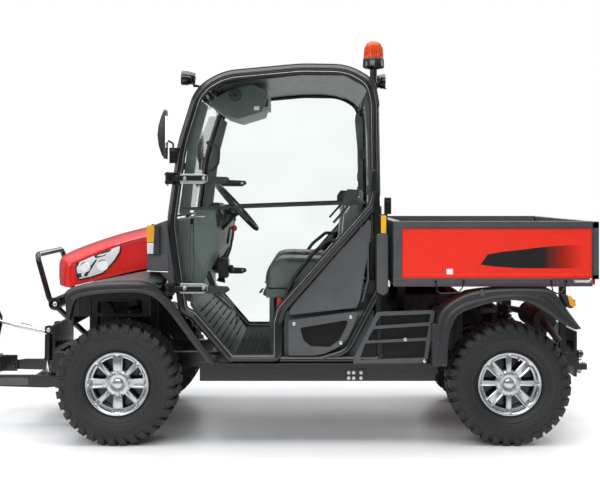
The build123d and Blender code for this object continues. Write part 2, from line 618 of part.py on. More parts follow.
# ---------------------------------------------------------------- side panels
BRACE = (CAB_LOOP[14], CAB_LOOP[13])
BRACE_SEAT = TUBE_R + CLEAR
QUARTER = ((893, 678), (1249, 717), (1265, 759), (1322, 1090), beside(*BRACE, 657, BRACE_SEAT),
           beside(*BRACE, 27, BRACE_SEAT))
MESH_FOOT = SILL_LINE + PILLAR_R + CLEAR
CAB_MESH = ((891, 650), (1239, 697), (1256, 686), (1236, 633), (1200, 556), (1150, 512),
            (1083, 482), (1030, MESH_FOOT), (891, MESH_FOOT))
PILLAR = (PILLAR_FOOT, PILLAR_HEAD)
ENGINE_MESH = (beside(*PILLAR, 251, PILLAR_R + CLEAR), (WHEELBASE - 395, 705), (WHEELBASE - 435, 456),
               beside(*PILLAR, 0, PILLAR_R + CLEAR))
with BuildPart() as quarter_panels:
    plate(QUARTER, PANEL_Y, FA)
    mirror(about=Plane.XZ)
save(quarter_panels, "quarter_panels")

with BuildPart() as mesh_panels:
    plate(CAB_MESH, PANEL_Y, FA)
    plate(ENGINE_MESH, PANEL_Y, FA)
    mirror(about=Plane.XZ)
save(mesh_panels, "mesh_panels")

HIP_Y = 600
HIP_RAIL = ((878, 696), (878, 763), (915, 859), (1021, 996), (1100, 1060), (BACK_X[0] - FA - CLEAR, 1060))
with BuildPart() as hip_rails:
    tube([(FA + x, HIP_Y, z) for x, z in HIP_RAIL], 21, 20)
    mirror(about=Plane.XZ)
save(hip_rails, "hip_rails")

# ---------------------------------------------------------------- dashboard and steering
WHEEL_AT = (FA + 600, -SEAT_Y, 1237)
COLUMN_TILT = 42
WHEEL_R = 175
AXIS_X, AXIS_Z = cos(radians(COLUMN_TILT)), sin(radians(COLUMN_TILT))


def along_column(distance):
    """Point on the steering column, from the wheel's centre towards the driver."""
    return (WHEEL_AT[0] + distance * AXIS_X, WHEEL_AT[1], WHEEL_AT[2] + distance * AXIS_Z)


COLUMN_PLANE = Plane(origin=along_column(0), z_dir=(AXIS_X, 0, AXIS_Z))
HUB_DROP = -45
DASH = ((393.3, 1238), (393.3, 1000), (440, 900), (500, 1000), (520, 1120), (508, 1232))
with BuildPart() as dashboard:
    plate(DASH, (-WALL_Y + 5, WALL_Y - 5), FA)
    with BuildSketch(Plane(origin=along_column(-170), z_dir=(AXIS_X, 0, AXIS_Z))) as column:
        Circle(26)
    extrude(column.sketch, amount=170 + HUB_DROP - CLEAR)
save(dashboard, "dashboard")

with BuildPart() as steering_wheel:
    with BuildSketch(Plane(origin=along_column(0), x_dir=(0, 1, 0),
                           z_dir=(AXIS_Z, 0, -AXIS_X))) as grip:
        with Locations((WHEEL_R - 14, 0)):
            Circle(14)
    revolve(grip.sketch, axis=Axis(along_column(0), (AXIS_X, 0, AXIS_Z)))
    with BuildSketch(COLUMN_PLANE.offset(HUB_DROP)) as hub:
        Circle(38)
    extrude(hub.sketch, amount=-HUB_DROP)
    with BuildSketch(COLUMN_PLANE.offset(-12)) as spokes:
        for turn in (0, 120, 240):
            with Locations(Location((0, 0), turn)):
                with Locations(((WHEEL_R - 14) / 2, 0)):
                    Rectangle(WHEEL_R - 14, 30)
    extrude(spokes.sketch, amount=12)
save(steering_wheel, "steering_wheel")

LINING = (ROOF[7], ROOF[8])      # underside of the roof, from rear to front
CONSOLE = ((470, 1845), beside(*reversed(LINING), 3, CLEAR), beside(*reversed(LINING), 230, CLEAR),
           (790, 1860), (740, 1800), (600, 1740), (540, 1750), (440, 1800))
with BuildPart() as overhead_console:
    plate(CONSOLE, (-260, 260), FA)
save(overhead_console, "overhead_console")

# ---------------------------------------------------------------- lamps, mirrors, beacon
with BuildPart() as work_lamps:
    for sign, _ in SIDES:
        y = side(sign, 520, 600)
        block((FA + 320, FA + 402), y, (1888, 1966))
        block((FA + 400, FA + ROOF_CROSS_FRONT[0] + 8), side(sign, 545, 575),
              (ROOF_CROSS_FRONT[1] + CROSS_R + CLEAR, 1900))
        block((FA + ROOF_CROSS_REAR[0] + CROSS_R + CLEAR, FA + 1420), side(sign, 430, 510), (1850, 1945))
save(work_lamps, "work_lamps")

FRONT_POST = (CAB_LOOP[4], CAB_LOOP[5])
with BuildPart() as mirrors:
    for sign, _ in SIDES:
        block((FA + 235, FA + 283), side(sign, 800, 935), (1484, 1731))
        block((FA + 252, FA + 285), side(sign, CAB_Y + 12, 830), (1512, 1543))
        plate(((262, 1480), beside(*FRONT_POST, 322, -BRACE_SEAT), beside(*FRONT_POST, 390, -BRACE_SEAT),
               (262, 1548)), side(sign, CAB_Y - 12, CAB_Y + TUBE_R + 8), FA)
save(mirrors, "mirrors")

BEACON_AT = (FA + ROOF_CROSS_REAR[0] + 12, -600)
BEACON_FOOT = ROOF_CROSS_REAR[1] + CROSS_R + CLEAR
with BuildPart() as beacon:
    x, y = BEACON_AT
    block((x - 24, x + 24), (y - 30, y + 30), (BEACON_FOOT, BEACON_FOOT + 8))
    post(x, y, (BEACON_FOOT, 1975), 20)
    post(x, y, (1969, 2022), 58)
    post(x, y, (2020, 2117), 54)
save(beacon, "beacon")

INDICATOR_X = (FA + 153, FA + 192)
FENDER_BACK = (REAR_OUT[6], REAR_OUT[5])
TAIL_LAMP = (beside(*FENDER_BACK, 106, CLEAR), beside(*FENDER_BACK, 0, CLEAR), (318, 722), (275, 792))
with BuildPart() as signal_lamps:
    for sign, _ in SIDES:
        block(INDICATOR_X, side(sign, WALL_Y - 3 + CLEAR, WALL_Y + 32), (990, 1146))
        plate(TAIL_LAMP, side(sign, FLARE_ROOT, FLARE_Y - 10), RA)
save(signal_lamps, "signal_lamps")

# ---------------------------------------------------------------- cargo box
BED_X = (FA + 1443, RA + 415)
BED_FLOOR = 26
BED_TOP = 1164
BED_WALL = 30
GATE_X = (RA + 420, RA + 450)
GATE_PIN = (RA + 432, 848)
GATE_PIN_R = 7
with BuildPart() as cargo_bed:
    block(BED_X, (-BOX_Y, BOX_Y), (BED_BOTTOM, BED_BOTTOM + BED_FLOOR))
    block((BED_X[0], BED_X[0] + BED_WALL), (-BOX_Y, BOX_Y), (BED_BOTTOM, BED_TOP))
    for sign, _ in SIDES:
        block(BED_X, side(sign, BOX_Y - BED_WALL, BOX_Y), (BED_BOTTOM, BED_TOP))
        sub = side(sign, BED_SUB_Y - BED_SUB_W / 2, BED_SUB_Y + BED_SUB_W / 2)
        block((BED_REST_X - 20, BED_PIVOT[0] + 25), sub, BED_SUB_Z)
        bar_y(BED_PIVOT[0], BED_PIVOT[1], (sub[0] - 1, sub[1] + 1), PIVOT_R + CLEAR, Mode.SUBTRACT)
        # gate lugs and pins
        lug_y = side(sign, 640, 665)
        block((BED_X[1], GATE_PIN[0] + 12), lug_y, (BED_BOTTOM, GATE_PIN[1] + 12))
        bar_y(*GATE_PIN, side(sign, 640, 700), GATE_PIN_R)
save(cargo_bed, "cargo_bed")

with BuildPart() as tailgate:
    block(GATE_X, (-BOX_Y + 5, BOX_Y - 5), (BED_BOTTOM + BED_FLOOR + 8, BED_TOP))
    for sign, _ in SIDES:
        tab_y = side(sign, 672, 695)
        block((GATE_PIN[0] - 12, GATE_PIN[0] + 12), tab_y, (GATE_PIN[1] - 12, BED_BOTTOM + BED_FLOOR + 10))
        bar_y(*GATE_PIN, (tab_y[0] - 1, tab_y[1] + 1), GATE_PIN_R + CLEAR, Mode.SUBTRACT)
save(tailgate, "tailgate")

# ---------------------------------------------------------------- tow bar
TOW_Z = (286, 321)
with BuildPart() as tow_hitch:
    block((RAIL_REAR + CLEAR, RAIL_REAR + 16), (-RAIL_Y - 20, RAIL_Y + 20), (TOW_Z[0], 540))
    block((RAIL_REAR + 10, RA + REAR_REACH), (-32, 32), TOW_Z)
    ball_x = RA + REAR_REACH - 38
    post(ball_x, 0, (TOW_Z[0] - 22, TOW_Z[1] + 34), 12)
    with Locations((ball_x, 0, TOW_Z[1] + 54)):
        Sphere(25)
save(tow_hitch, "tow_hitch")

# ---------------------------------------------------------------- guard
GUARD_Y = 300
GUARD_D = 30
with BuildPart() as front_guard:
    half = ((GUARD_FOOT, -RAIL_Y, RAIL_TOP + CLEAR), (GUARD_FOOT, -RAIL_Y, 520),
            (FA - 398, -GUARD_Y, 672), (FA - 445, -GUARD_Y, 718), (FA - 516, -GUARD_Y, 971))
    other = tuple((x, -y, z) for x, y, z in reversed(half))
    tube(half + other, GUARD_D, 28)
    bar_y(FA - 412, 698, (-GUARD_Y - 20, GUARD_Y + 20), 36)
save(front_guard, "front_guard")

# ---------------------------------------------------------------- front lift
# pivots in the side view: (x from the front axle, z)
ARM_PIVOT = (FA - 400, 265)
ARM_TIP = (FA - 800, 265)
LINK_BASE = (FA - 470, 490)
LINK_TIP = (FA - 830, 570)
RAM_TOP = (FA - 495, 530)
RAM_FOOT = (FA - 500, 265)
ARM_Y = (275, 311)
ARM_H = 66
LIFT_PIN_R = 14
RAM_Y = 110
RAM_EYE = 16
EYE_R = 24
LOOSE = 7                        # drift that a closed linkage needs at its open eye
COUPLER_FACE = FA - FRONT_REACH
MAST_Y = (24, 36)
IMPLEMENT_Y = 200                # implement pin holes in the coupler's lower plate
IMPLEMENT_Z = 281
IMPLEMENT_R = 12.5

with BuildPart() as linkage_base:
    block((RAIL_FRONT - 16, RAIL_FRONT - CLEAR), (-RAIL_Y + 15, RAIL_Y - 15), (RAIL_Z[0], 570))
    for sign, _ in SIDES:
        plate_y = side(sign, RAIL_Y - 10, RAIL_Y + 10)
        block((ARM_PIVOT[0] - 50, ARM_PIVOT[0] + 60), plate_y,
              (ARM_PIVOT[1] - 32, RAIL_Z[0] - CLEAR))
        bar_y(*ARM_PIVOT, side(sign, RAIL_Y, ARM_Y[1] + 6), LIFT_PIN_R)
        for inner, outer in ((RAM_Y - 18, RAM_Y - 10), (RAM_Y + 10, RAM_Y + 18)):
            block((RAM_TOP[0] - 20, RAIL_FRONT - 10), side(sign, inner, outer),
                  (RAM_TOP[1] - 20, RAM_TOP[1] + 20))
        bar_y(*RAM_TOP, side(sign, RAM_Y - 18, RAM_Y + 18), 8)
        block((LINK_BASE[0] - 20, RAIL_FRONT - 10), side(sign, 22, 32),
              (LINK_BASE[1] - 20, LINK_BASE[1] + 20))
    bar_y(*LINK_BASE, (-32, 32), 8)
    block((RAIL_FRONT - 16, RAIL_FRONT - CLEAR), (-RAIL_Y + 15, RAIL_Y - 15),
          (ARM_PIVOT[1] - 32, RAIL_Z[0]))
    block((ARM_PIVOT[0] - 44, ARM_PIVOT[0] - 30), (-RAIL_Y, RAIL_Y),
          (ARM_PIVOT[1] - 32, RAIL_Z[0] - 20))
save(linkage_base, "linkage_base")

with BuildPart() as lift_arms:
    for sign, _ in SIDES:
        arm_y = side(sign, *ARM_Y)
        plate(((ARM_PIVOT[0] + 22, 240), (ARM_PIVOT[0] + 22, 290), (ARM_PIVOT[0] - 60, 300),
               (ARM_TIP[0] + 60, 300), (ARM_TIP[0] - 24, 288), (ARM_TIP[0] - 24, 242),
               (ARM_PIVOT[0] - 60, 232)), arm_y)
        bar_y(*ARM_PIVOT, side(sign, ARM_Y[0] - 1, ARM_Y[1] + 1), LIFT_PIN_R + CLEAR, Mode.SUBTRACT)
        bar_y(*ARM_TIP, side(sign, 244, ARM_Y[0] + 5), LIFT_PIN_R)
        for inner, outer in ((RAM_Y - 18, RAM_Y - 10), (RAM_Y + 10, RAM_Y + 18)):
            block((RAM_FOOT[0] - 40, RAM_FOOT[0] + 16), side(sign, inner, outer),
                  (RAM_FOOT[1] - 16, RAM_FOOT[1] + 16))
        bar_y(*RAM_FOOT, side(sign, RAM_Y - 18, RAM_Y + 18), 8)
    bar_y(RAM_FOOT[0] - 48, RAM_FOOT[1], (-ARM_Y[0] - 4, ARM_Y[0] + 4), 18)
save(lift_arms, "lift_arms")

with BuildPart() as coupler:
    for sign, _ in SIDES:
        block((COUPLER_FACE, ARM_TIP[0] + 22), side(sign, 250, 268), (232, 330))
        bar_y(*ARM_TIP, side(sign, 249, 269), LIFT_PIN_R + CLEAR, Mode.SUBTRACT)
        plate(((COUPLER_FACE, 300), (COUPLER_FACE, 630), (LINK_TIP[0] + 8, 630),
               (LINK_TIP[0] + 26, 590), (LINK_TIP[0] + 26, 545), (COUPLER_FACE + 30, 330)),
              side(sign, *MAST_Y))
    block((COUPLER_FACE, COUPLER_FACE + 16), (-268, 268), (232, 330))
    block((COUPLER_FACE, COUPLER_FACE + 12), (-MAST_Y[1], MAST_Y[1]), (320, 630))
    for sign, _ in SIDES:
        with Locations(Location((COUPLER_FACE + 8, sign * IMPLEMENT_Y, IMPLEMENT_Z), (0, 90, 0))):
            Cylinder(IMPLEMENT_R, 20, mode=Mode.SUBTRACT)
    bar_y(*LINK_TIP, (-MAST_Y[1], MAST_Y[1]), 8)
save(coupler, "coupler")

with BuildPart() as top_link:
    for end, hole in ((LINK_BASE, 8 + CLEAR), (LINK_TIP, 8 + LOOSE)):
        bar_y(*end, (-16, 16), EYE_R)
    run = Vector(LINK_TIP[0] - LINK_BASE[0], 0, LINK_TIP[1] - LINK_BASE[1])
    with BuildSketch(Plane(origin=(LINK_BASE[0], 0, LINK_BASE[1]), z_dir=run)) as rod:
        Circle(14)
    extrude(rod.sketch, amount=run.length)
    for end, hole in ((LINK_BASE, 8 + CLEAR), (LINK_TIP, 8 + LOOSE)):
        bar_y(*end, (-17, 17), hole, Mode.SUBTRACT)
save(top_link, "top_link")

RAM_RUN = Vector(RAM_FOOT[0] - RAM_TOP[0], 0, RAM_FOOT[1] - RAM_TOP[1])
BARREL_R = 24
ROD_R = 10
BARREL_L = 175
with BuildPart() as lift_barrels:
    for sign, _ in SIDES:
        ram_y = side(sign, RAM_Y - 8, RAM_Y + 8)
        bar_y(*RAM_TOP, ram_y, EYE_R)
        base = Plane(origin=(RAM_TOP[0], sign * RAM_Y, RAM_TOP[1]), z_dir=RAM_RUN)
        with BuildSketch(base.offset(26)) as tube_end:
            Circle(BARREL_R)
        extrude(tube_end.sketch, amount=BARREL_L - 26)
        with BuildSketch(base) as neck:
            Circle(7)
        extrude(neck.sketch, amount=28)
        bar_y(*RAM_TOP, side(sign, RAM_Y - 9, RAM_Y + 9), 8 + CLEAR, Mode.SUBTRACT)
        with BuildSketch(base.offset(60)) as bore:
            Circle(ROD_R + CLEAR)
        extrude(bore.sketch, amount=BARREL_L, mode=Mode.SUBTRACT)
save(lift_barrels, "lift_barrels")

with BuildPart() as lift_rods:
    for sign, _ in SIDES:
        ram_y = side(sign, RAM_Y - 8, RAM_Y + 8)
        bar_y(*RAM_FOOT, ram_y, EYE_R)
        base = Plane(origin=(RAM_TOP[0], sign * RAM_Y, RAM_TOP[1]), z_dir=RAM_RUN)
        with BuildSketch(base.offset(118)) as rod:
            Circle(ROD_R)
        extrude(rod.sketch, amount=RAM_RUN.length - 118 - EYE_R + 2)
        bar_y(*RAM_FOOT, side(sign, RAM_Y - 9, RAM_Y + 9), 8 + LOOSE, Mode.SUBTRACT)
save(lift_rods, "lift_rods")

# ---------------------------------------------------------------- headlights in the hood's flanks
LAMP_OUT = ((-252, 925), (-135, 985), (-45, 1000), (-75, 930), (-250, 855))
with BuildPart() as headlights:
    plate(LAMP_OUT, (HOOD_W + CLEAR, HOOD_W + 14), FA)
    mirror(about=Plane.XZ)
save(headlights, "headlights")
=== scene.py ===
"""Looks of the side by side utility vehicle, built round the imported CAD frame.

Points are given in millimetres: x from the front axle (rearward), y from the
centre plane (the driver's side is negative), z from the ground.
"""
import json
from math import cos, sin, pi, radians, sqrt

import bmesh
import bpy
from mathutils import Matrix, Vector
from mathutils.bvhtree import BVHTree
from mathutils.geometry import tessellate_polygon


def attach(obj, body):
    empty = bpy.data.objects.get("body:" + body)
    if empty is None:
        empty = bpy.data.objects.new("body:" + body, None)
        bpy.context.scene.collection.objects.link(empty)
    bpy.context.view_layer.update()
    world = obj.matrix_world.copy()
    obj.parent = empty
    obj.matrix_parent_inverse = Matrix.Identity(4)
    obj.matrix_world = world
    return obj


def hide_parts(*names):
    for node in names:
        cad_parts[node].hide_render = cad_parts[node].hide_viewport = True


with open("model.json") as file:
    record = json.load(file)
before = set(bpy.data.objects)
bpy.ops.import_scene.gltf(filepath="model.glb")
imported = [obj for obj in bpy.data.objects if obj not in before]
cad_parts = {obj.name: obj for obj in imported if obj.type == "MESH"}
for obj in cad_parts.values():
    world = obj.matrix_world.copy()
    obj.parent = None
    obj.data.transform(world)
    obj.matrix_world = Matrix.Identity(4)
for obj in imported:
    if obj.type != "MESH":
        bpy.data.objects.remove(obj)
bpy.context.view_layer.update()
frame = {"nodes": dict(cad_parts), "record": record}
NODES = frame["nodes"]

FA = -867.5                      # front axle, mm behind the middle
WB = 2045.0                      # wheelbase
SIDES = ((-1, "left"), (1, "right"))
BOTH = (-1, 1)
CORNERS = [(axle, sign) for axle in (0, WB) for sign in BOTH]


def mm(x, y, z):
    return Vector(((x + FA) / 1000, y / 1000, z / 1000))


# ================================================================ materials
M = {}


def node_tree(name):
    """New material, kept in M under its name, with its tree and its shader."""
    mat = M[name] = bpy.data.materials.new(name)
    mat.use_nodes = True
    return mat, mat.node_tree, mat.node_tree.nodes["Principled BSDF"]


def coords(tree, scale=(1, 1, 1)):
    tex = tree.nodes.new("ShaderNodeTexCoord")
    mapping = tree.nodes.new("ShaderNodeMapping")
    mapping.inputs["Scale"].default_value = scale
    tree.links.new(tex.outputs["Object"], mapping.inputs["Vector"])
    return mapping.outputs["Vector"]


def noise(tree, vector, scale, detail=3, rough=0.5):
    n = tree.nodes.new("ShaderNodeTexNoise")
    n.inputs["Scale"].default_value = scale
    n.inputs["Detail"].default_value = detail
    n.inputs["Roughness"].default_value = rough
    tree.links.new(vector, n.inputs["Vector"])
    return n.outputs["Fac"]


def ramp(tree, fac, stops):
    r = tree.nodes.new("ShaderNodeValToRGB")
    r.color_ramp.elements[0].position, r.color_ramp.elements[0].color = stops[0][0], (*stops[0][1], 1)
    r.color_ramp.elements[1].position, r.color_ramp.elements[1].color = stops[-1][0], (*stops[-1][1], 1)
    for at, colour in stops[1:-1]:
        e = r.color_ramp.elements.new(at)
        e.color = (*colour, 1)
    tree.links.new(fac, r.inputs["Fac"])
    return r.outputs["Color"]


def spread(tree, fac, low, high, a=0.3, b=0.7):
    m = tree.nodes.new("ShaderNodeMapRange")
    m.inputs["From Min"].default_value, m.inputs["From Max"].default_value = a, b
    m.inputs["To Min"].default_value, m.inputs["To Max"].default_value = low, high
    tree.links.new(fac, m.inputs["Value"])
    return m.outputs["Result"]


def bump(tree, shader, height, strength, distance, below=None):
    b = tree.nodes.new("ShaderNodeBump")
    b.inputs["Strength"].default_value = strength
    b.inputs["Distance"].default_value = distance
    tree.links.new(height, b.inputs["Height"])
    if below is not None:
        tree.links.new(below, b.inputs["Normal"])
    tree.links.new(b.outputs["Normal"], shader.inputs["Normal"])
    return b.outputs["Normal"]


def shade(colour, k):
    return tuple(min(1, c * k) for c in colour)


def surface(name, colour, rough, metal=0.0, tone=0.12, tone_scale=6, grain=(900, 0.15, 0.0004), coat=0.0,
            coat_rough=0.05, rough_spread=0.06):
    """Painted, moulded or bare surface with broad tone, uneven gloss and fine grain."""
    mat, tree, shader = node_tree(name)
    where = coords(tree)
    broad = noise(tree, where, tone_scale, 4, 0.6)
    stops = [(0.25, shade(colour, 1 - tone)), (0.75, shade(colour, 1 + tone))]
    tree.links.new(ramp(tree, broad, stops), shader.inputs["Base Color"])
    gloss = noise(tree, where, tone_scale * 7, 5, 0.6)
    tree.links.new(spread(tree, gloss, max(0.02, rough - rough_spread), rough + rough_spread),
                   shader.inputs["Roughness"])
    shader.inputs["Metallic"].default_value = metal
    shader.inputs["Coat Weight"].default_value = coat
    shader.inputs["Coat Roughness"].default_value = coat_rough
    fine = noise(tree, where, grain[0], 2, 0.5)
    bump(tree, shader, fine, grain[1], grain[2])
    return mat


def leathery(name, colour, rough, cell=380, strength=0.35, distance=0.0006):
    """Vinyl or moulded skin with a pebble grain."""
    mat, tree, shader = node_tree(name)
    where = coords(tree)
    cells = tree.nodes.new("ShaderNodeTexVoronoi")
    cells.feature = "DISTANCE_TO_EDGE"
    cells.inputs["Scale"].default_value = cell
    tree.links.new(where, cells.inputs["Vector"])
    broad = noise(tree, where, 9, 4, 0.6)
    tree.links.new(ramp(tree, broad, [(0.25, shade(colour, 0.82)), (0.75, shade(colour, 1.18))]),
                   shader.inputs["Base Color"])
    tree.links.new(spread(tree, noise(tree, where, 55, 4), rough - 0.07, rough + 0.07),
                   shader.inputs["Roughness"])
    first = bump(tree, shader, spread(tree, cells.outputs["Distance"], 0, 1, 0, 0.12), strength, distance)
    bump(tree, shader, noise(tree, where, 1400, 2), 0.15, 0.0002, first)
    return mat


def glassy(name, colour, rough=0.03, transmission=1.0, ior=1.45, streak=0.03):
    """Clear or tinted glass and plastic."""
    mat, tree, shader = node_tree(name)
    where = coords(tree)
    tree.links.new(ramp(tree, noise(tree, where, 2.5, 2),
                        [(0.3, shade(colour, 0.97)), (0.7, shade(colour, 1.02))]),
                   shader.inputs["Base Color"])
    tree.links.new(spread(tree, noise(tree, where, 14, 3), rough, rough + streak), shader.inputs["Roughness"])
    shader.inputs["Transmission Weight"].default_value = transmission
    shader.inputs["IOR"].default_value = ior
    return mat


def brushed(name, colour, rough):
    """Bare metal with fine drawn lines."""
    mat, tree, shader = node_tree(name)
    where = coords(tree)
    lines = noise(tree, where, 600, 3, 0.7)
    tree.links.new(ramp(tree, noise(tree, coords(tree), 12, 4),
                        [(0.3, shade(colour, 0.85)), (0.7, shade(colour, 1.1))]), shader.inputs["Base Color"])
    tree.links.new(spread(tree, lines, rough - 0.08, rough + 0.1), shader.inputs["Roughness"])
    shader.inputs["Metallic"].default_value = 1.0
    bump(tree, shader, lines, 0.12, 0.0002)
    return mat


surface("body_red", (0.70, 0.006, 0.005), 0.3, tone=0.04, grain=(90, 0.02, 0.0003),
        coat=0.8, coat_rough=0.03)
surface("box_red", (0.84, 0.026, 0.010), 0.33, tone=0.04, grain=(320, 0.06, 0.0004),
        coat=0.5, coat_rough=0.12)
surface("frame_black", (0.007, 0.0074, 0.008), 0.22, tone=0.25, grain=(1500, 0.18, 0.0003),
        coat=0.25, coat_rough=0.2)
leathery("panel_grey", (0.070, 0.072, 0.076), 0.46, 620, 0.2, 0.0003)
leathery("flare_grey", (0.017, 0.018, 0.019), 0.36, 560, 0.3, 0.0004)
surface("tyre_rubber", (0.0095, 0.0098, 0.010), 0.6, tone=0.3, tone_scale=18,
        grain=(700, 0.25, 0.0006), rough_spread=0.1)
surface("alloy_silver", (0.50, 0.51, 0.52), 0.24, metal=0.85, tone=0.05, tone_scale=14,
        grain=(2400, 0.1, 0.0002), coat=0.35, coat_rough=0.1)
brushed("steel", (0.55, 0.55, 0.56), 0.34)
surface("chrome_rod", (0.75, 0.76, 0.77), 0.12, metal=1.0, tone=0.05, grain=(900, 0.04, 0.0002),
        rough_spread=0.05)
surface("cast_grey", (0.07, 0.072, 0.075), 0.6, metal=0.4, tone=0.3, tone_scale=25,
        grain=(420, 0.5, 0.0012))
glassy("glass_green", (0.955, 0.985, 0.972), 0.0, transmission=1.0, ior=1.08, streak=0.01)
glassy("lamp_clear", (0.93, 0.95, 0.97), 0.04, transmission=0.9, ior=1.3)
glassy("lens_clear", (0.985, 0.99, 1.0), 0.02, transmission=1.0, ior=1.12, streak=0.01)
surface("bowl_white", (0.93, 0.94, 0.95), 0.2, tone=0.05, tone_scale=60, grain=(500, 0.1, 0.0003))
glassy("lamp_amber", (1.0, 0.46, 0.05), 0.12, transmission=0.3)
glassy("beacon_orange", (0.80, 0.075, 0.008), 0.08, transmission=0.5, ior=1.35)
leathery("seat_black", (0.028, 0.029, 0.031), 0.46, 420, 0.4, 0.0007)
leathery("interior_grey", (0.088, 0.112, 0.104), 0.46, 520, 0.3, 0.0005)
leathery("trim_black", (0.018, 0.019, 0.02), 0.42, 640, 0.25, 0.0004)
surface("rubber_black", (0.012, 0.012, 0.013), 0.7, tone=0.3, tone_scale=20,
        grain=(1100, 0.2, 0.0003))
surface("zinc", (0.66, 0.66, 0.64), 0.3, metal=1.0, tone=0.1, tone_scale=40, grain=(1500, 0.2, 0.0003))
surface("mirror", (0.85, 0.86, 0.87), 0.04, metal=1.0, tone=0.02, grain=(40, 0.01, 0.0001),
        rough_spread=0.01)
glassy("white_lamp", (0.95, 0.96, 0.97), 0.1, transmission=0.4)
surface("reflector", (0.92, 0.50, 0.02), 0.2, tone=0.1, tone_scale=30, grain=(260, 0.5, 0.0008),
        coat=0.6)
surface("red_knob", (0.6, 0.02, 0.015), 0.3, tone=0.08, grain=(700, 0.08, 0.0003), coat=0.4)
surface("label_white", (0.8, 0.8, 0.78), 0.45, tone=0.04, tone_scale=30, grain=(900, 0.08, 0.0002))
surface("decal_black", (0.012, 0.012, 0.013), 0.35, tone=0.2, grain=(800, 0.05, 0.0002))
surface("bed_grey", (0.06, 0.063, 0.066), 0.45, tone=0.15, tone_scale=12, grain=(500, 0.25, 0.0006))

for part in frame["record"]["subparts"]:
    obj = NODES[part["node"]]
    for slot in obj.material_slots:
        slot.material = M[part["material_slot"]]


# ================================================================ shape helpers
def mesh_object(name, verts, faces, outward=False):
    """New object in the scene; outward turns its faces' normals out."""
    me = bpy.data.meshes.new(name)
    me.from_pydata([tuple(v) for v in verts], [], faces)
    if outward:
        bm = bmesh.new()
        bm.from_mesh(me)
        bmesh.ops.recalc_face_normals(bm, faces=bm.faces)
        bm.to_mesh(me)
        bm.free()
    obj = bpy.data.objects.new(name, me)
    bpy.context.scene.collection.objects.link(obj)
    return obj


def round_edges(obj, width, segments, angle, harden=False, name="edges"):
    """Bevel over edges sharper than an angle in degrees; width in mm."""
    b = obj.modifiers.new(name, "BEVEL")
    b.width, b.segments, b.limit_method, b.angle_limit = width / 1000, segments, "ANGLE", radians(angle)
    b.harden_normals = harden


def finish(obj, mat, body, smooth=35, bevel=0.0, segments=2):
    """Material, edges, smoothing and the body that the piece rides on. bevel is in mm."""
    obj.data.materials.append(M[mat])
    if bevel:
        round_edges(obj, bevel, segments, 28)
    for poly in obj.data.polygons:
        poly.use_smooth = True
    if smooth:
        obj.data.set_sharp_from_angle(angle=radians(smooth))
    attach(obj, body)
    return obj


SLAB_FACES = [(0, 1, 2, 3), (7, 6, 5, 4), (0, 4, 5, 1), (1, 5, 6, 2), (2, 6, 7, 3), (3, 7, 4, 0)]


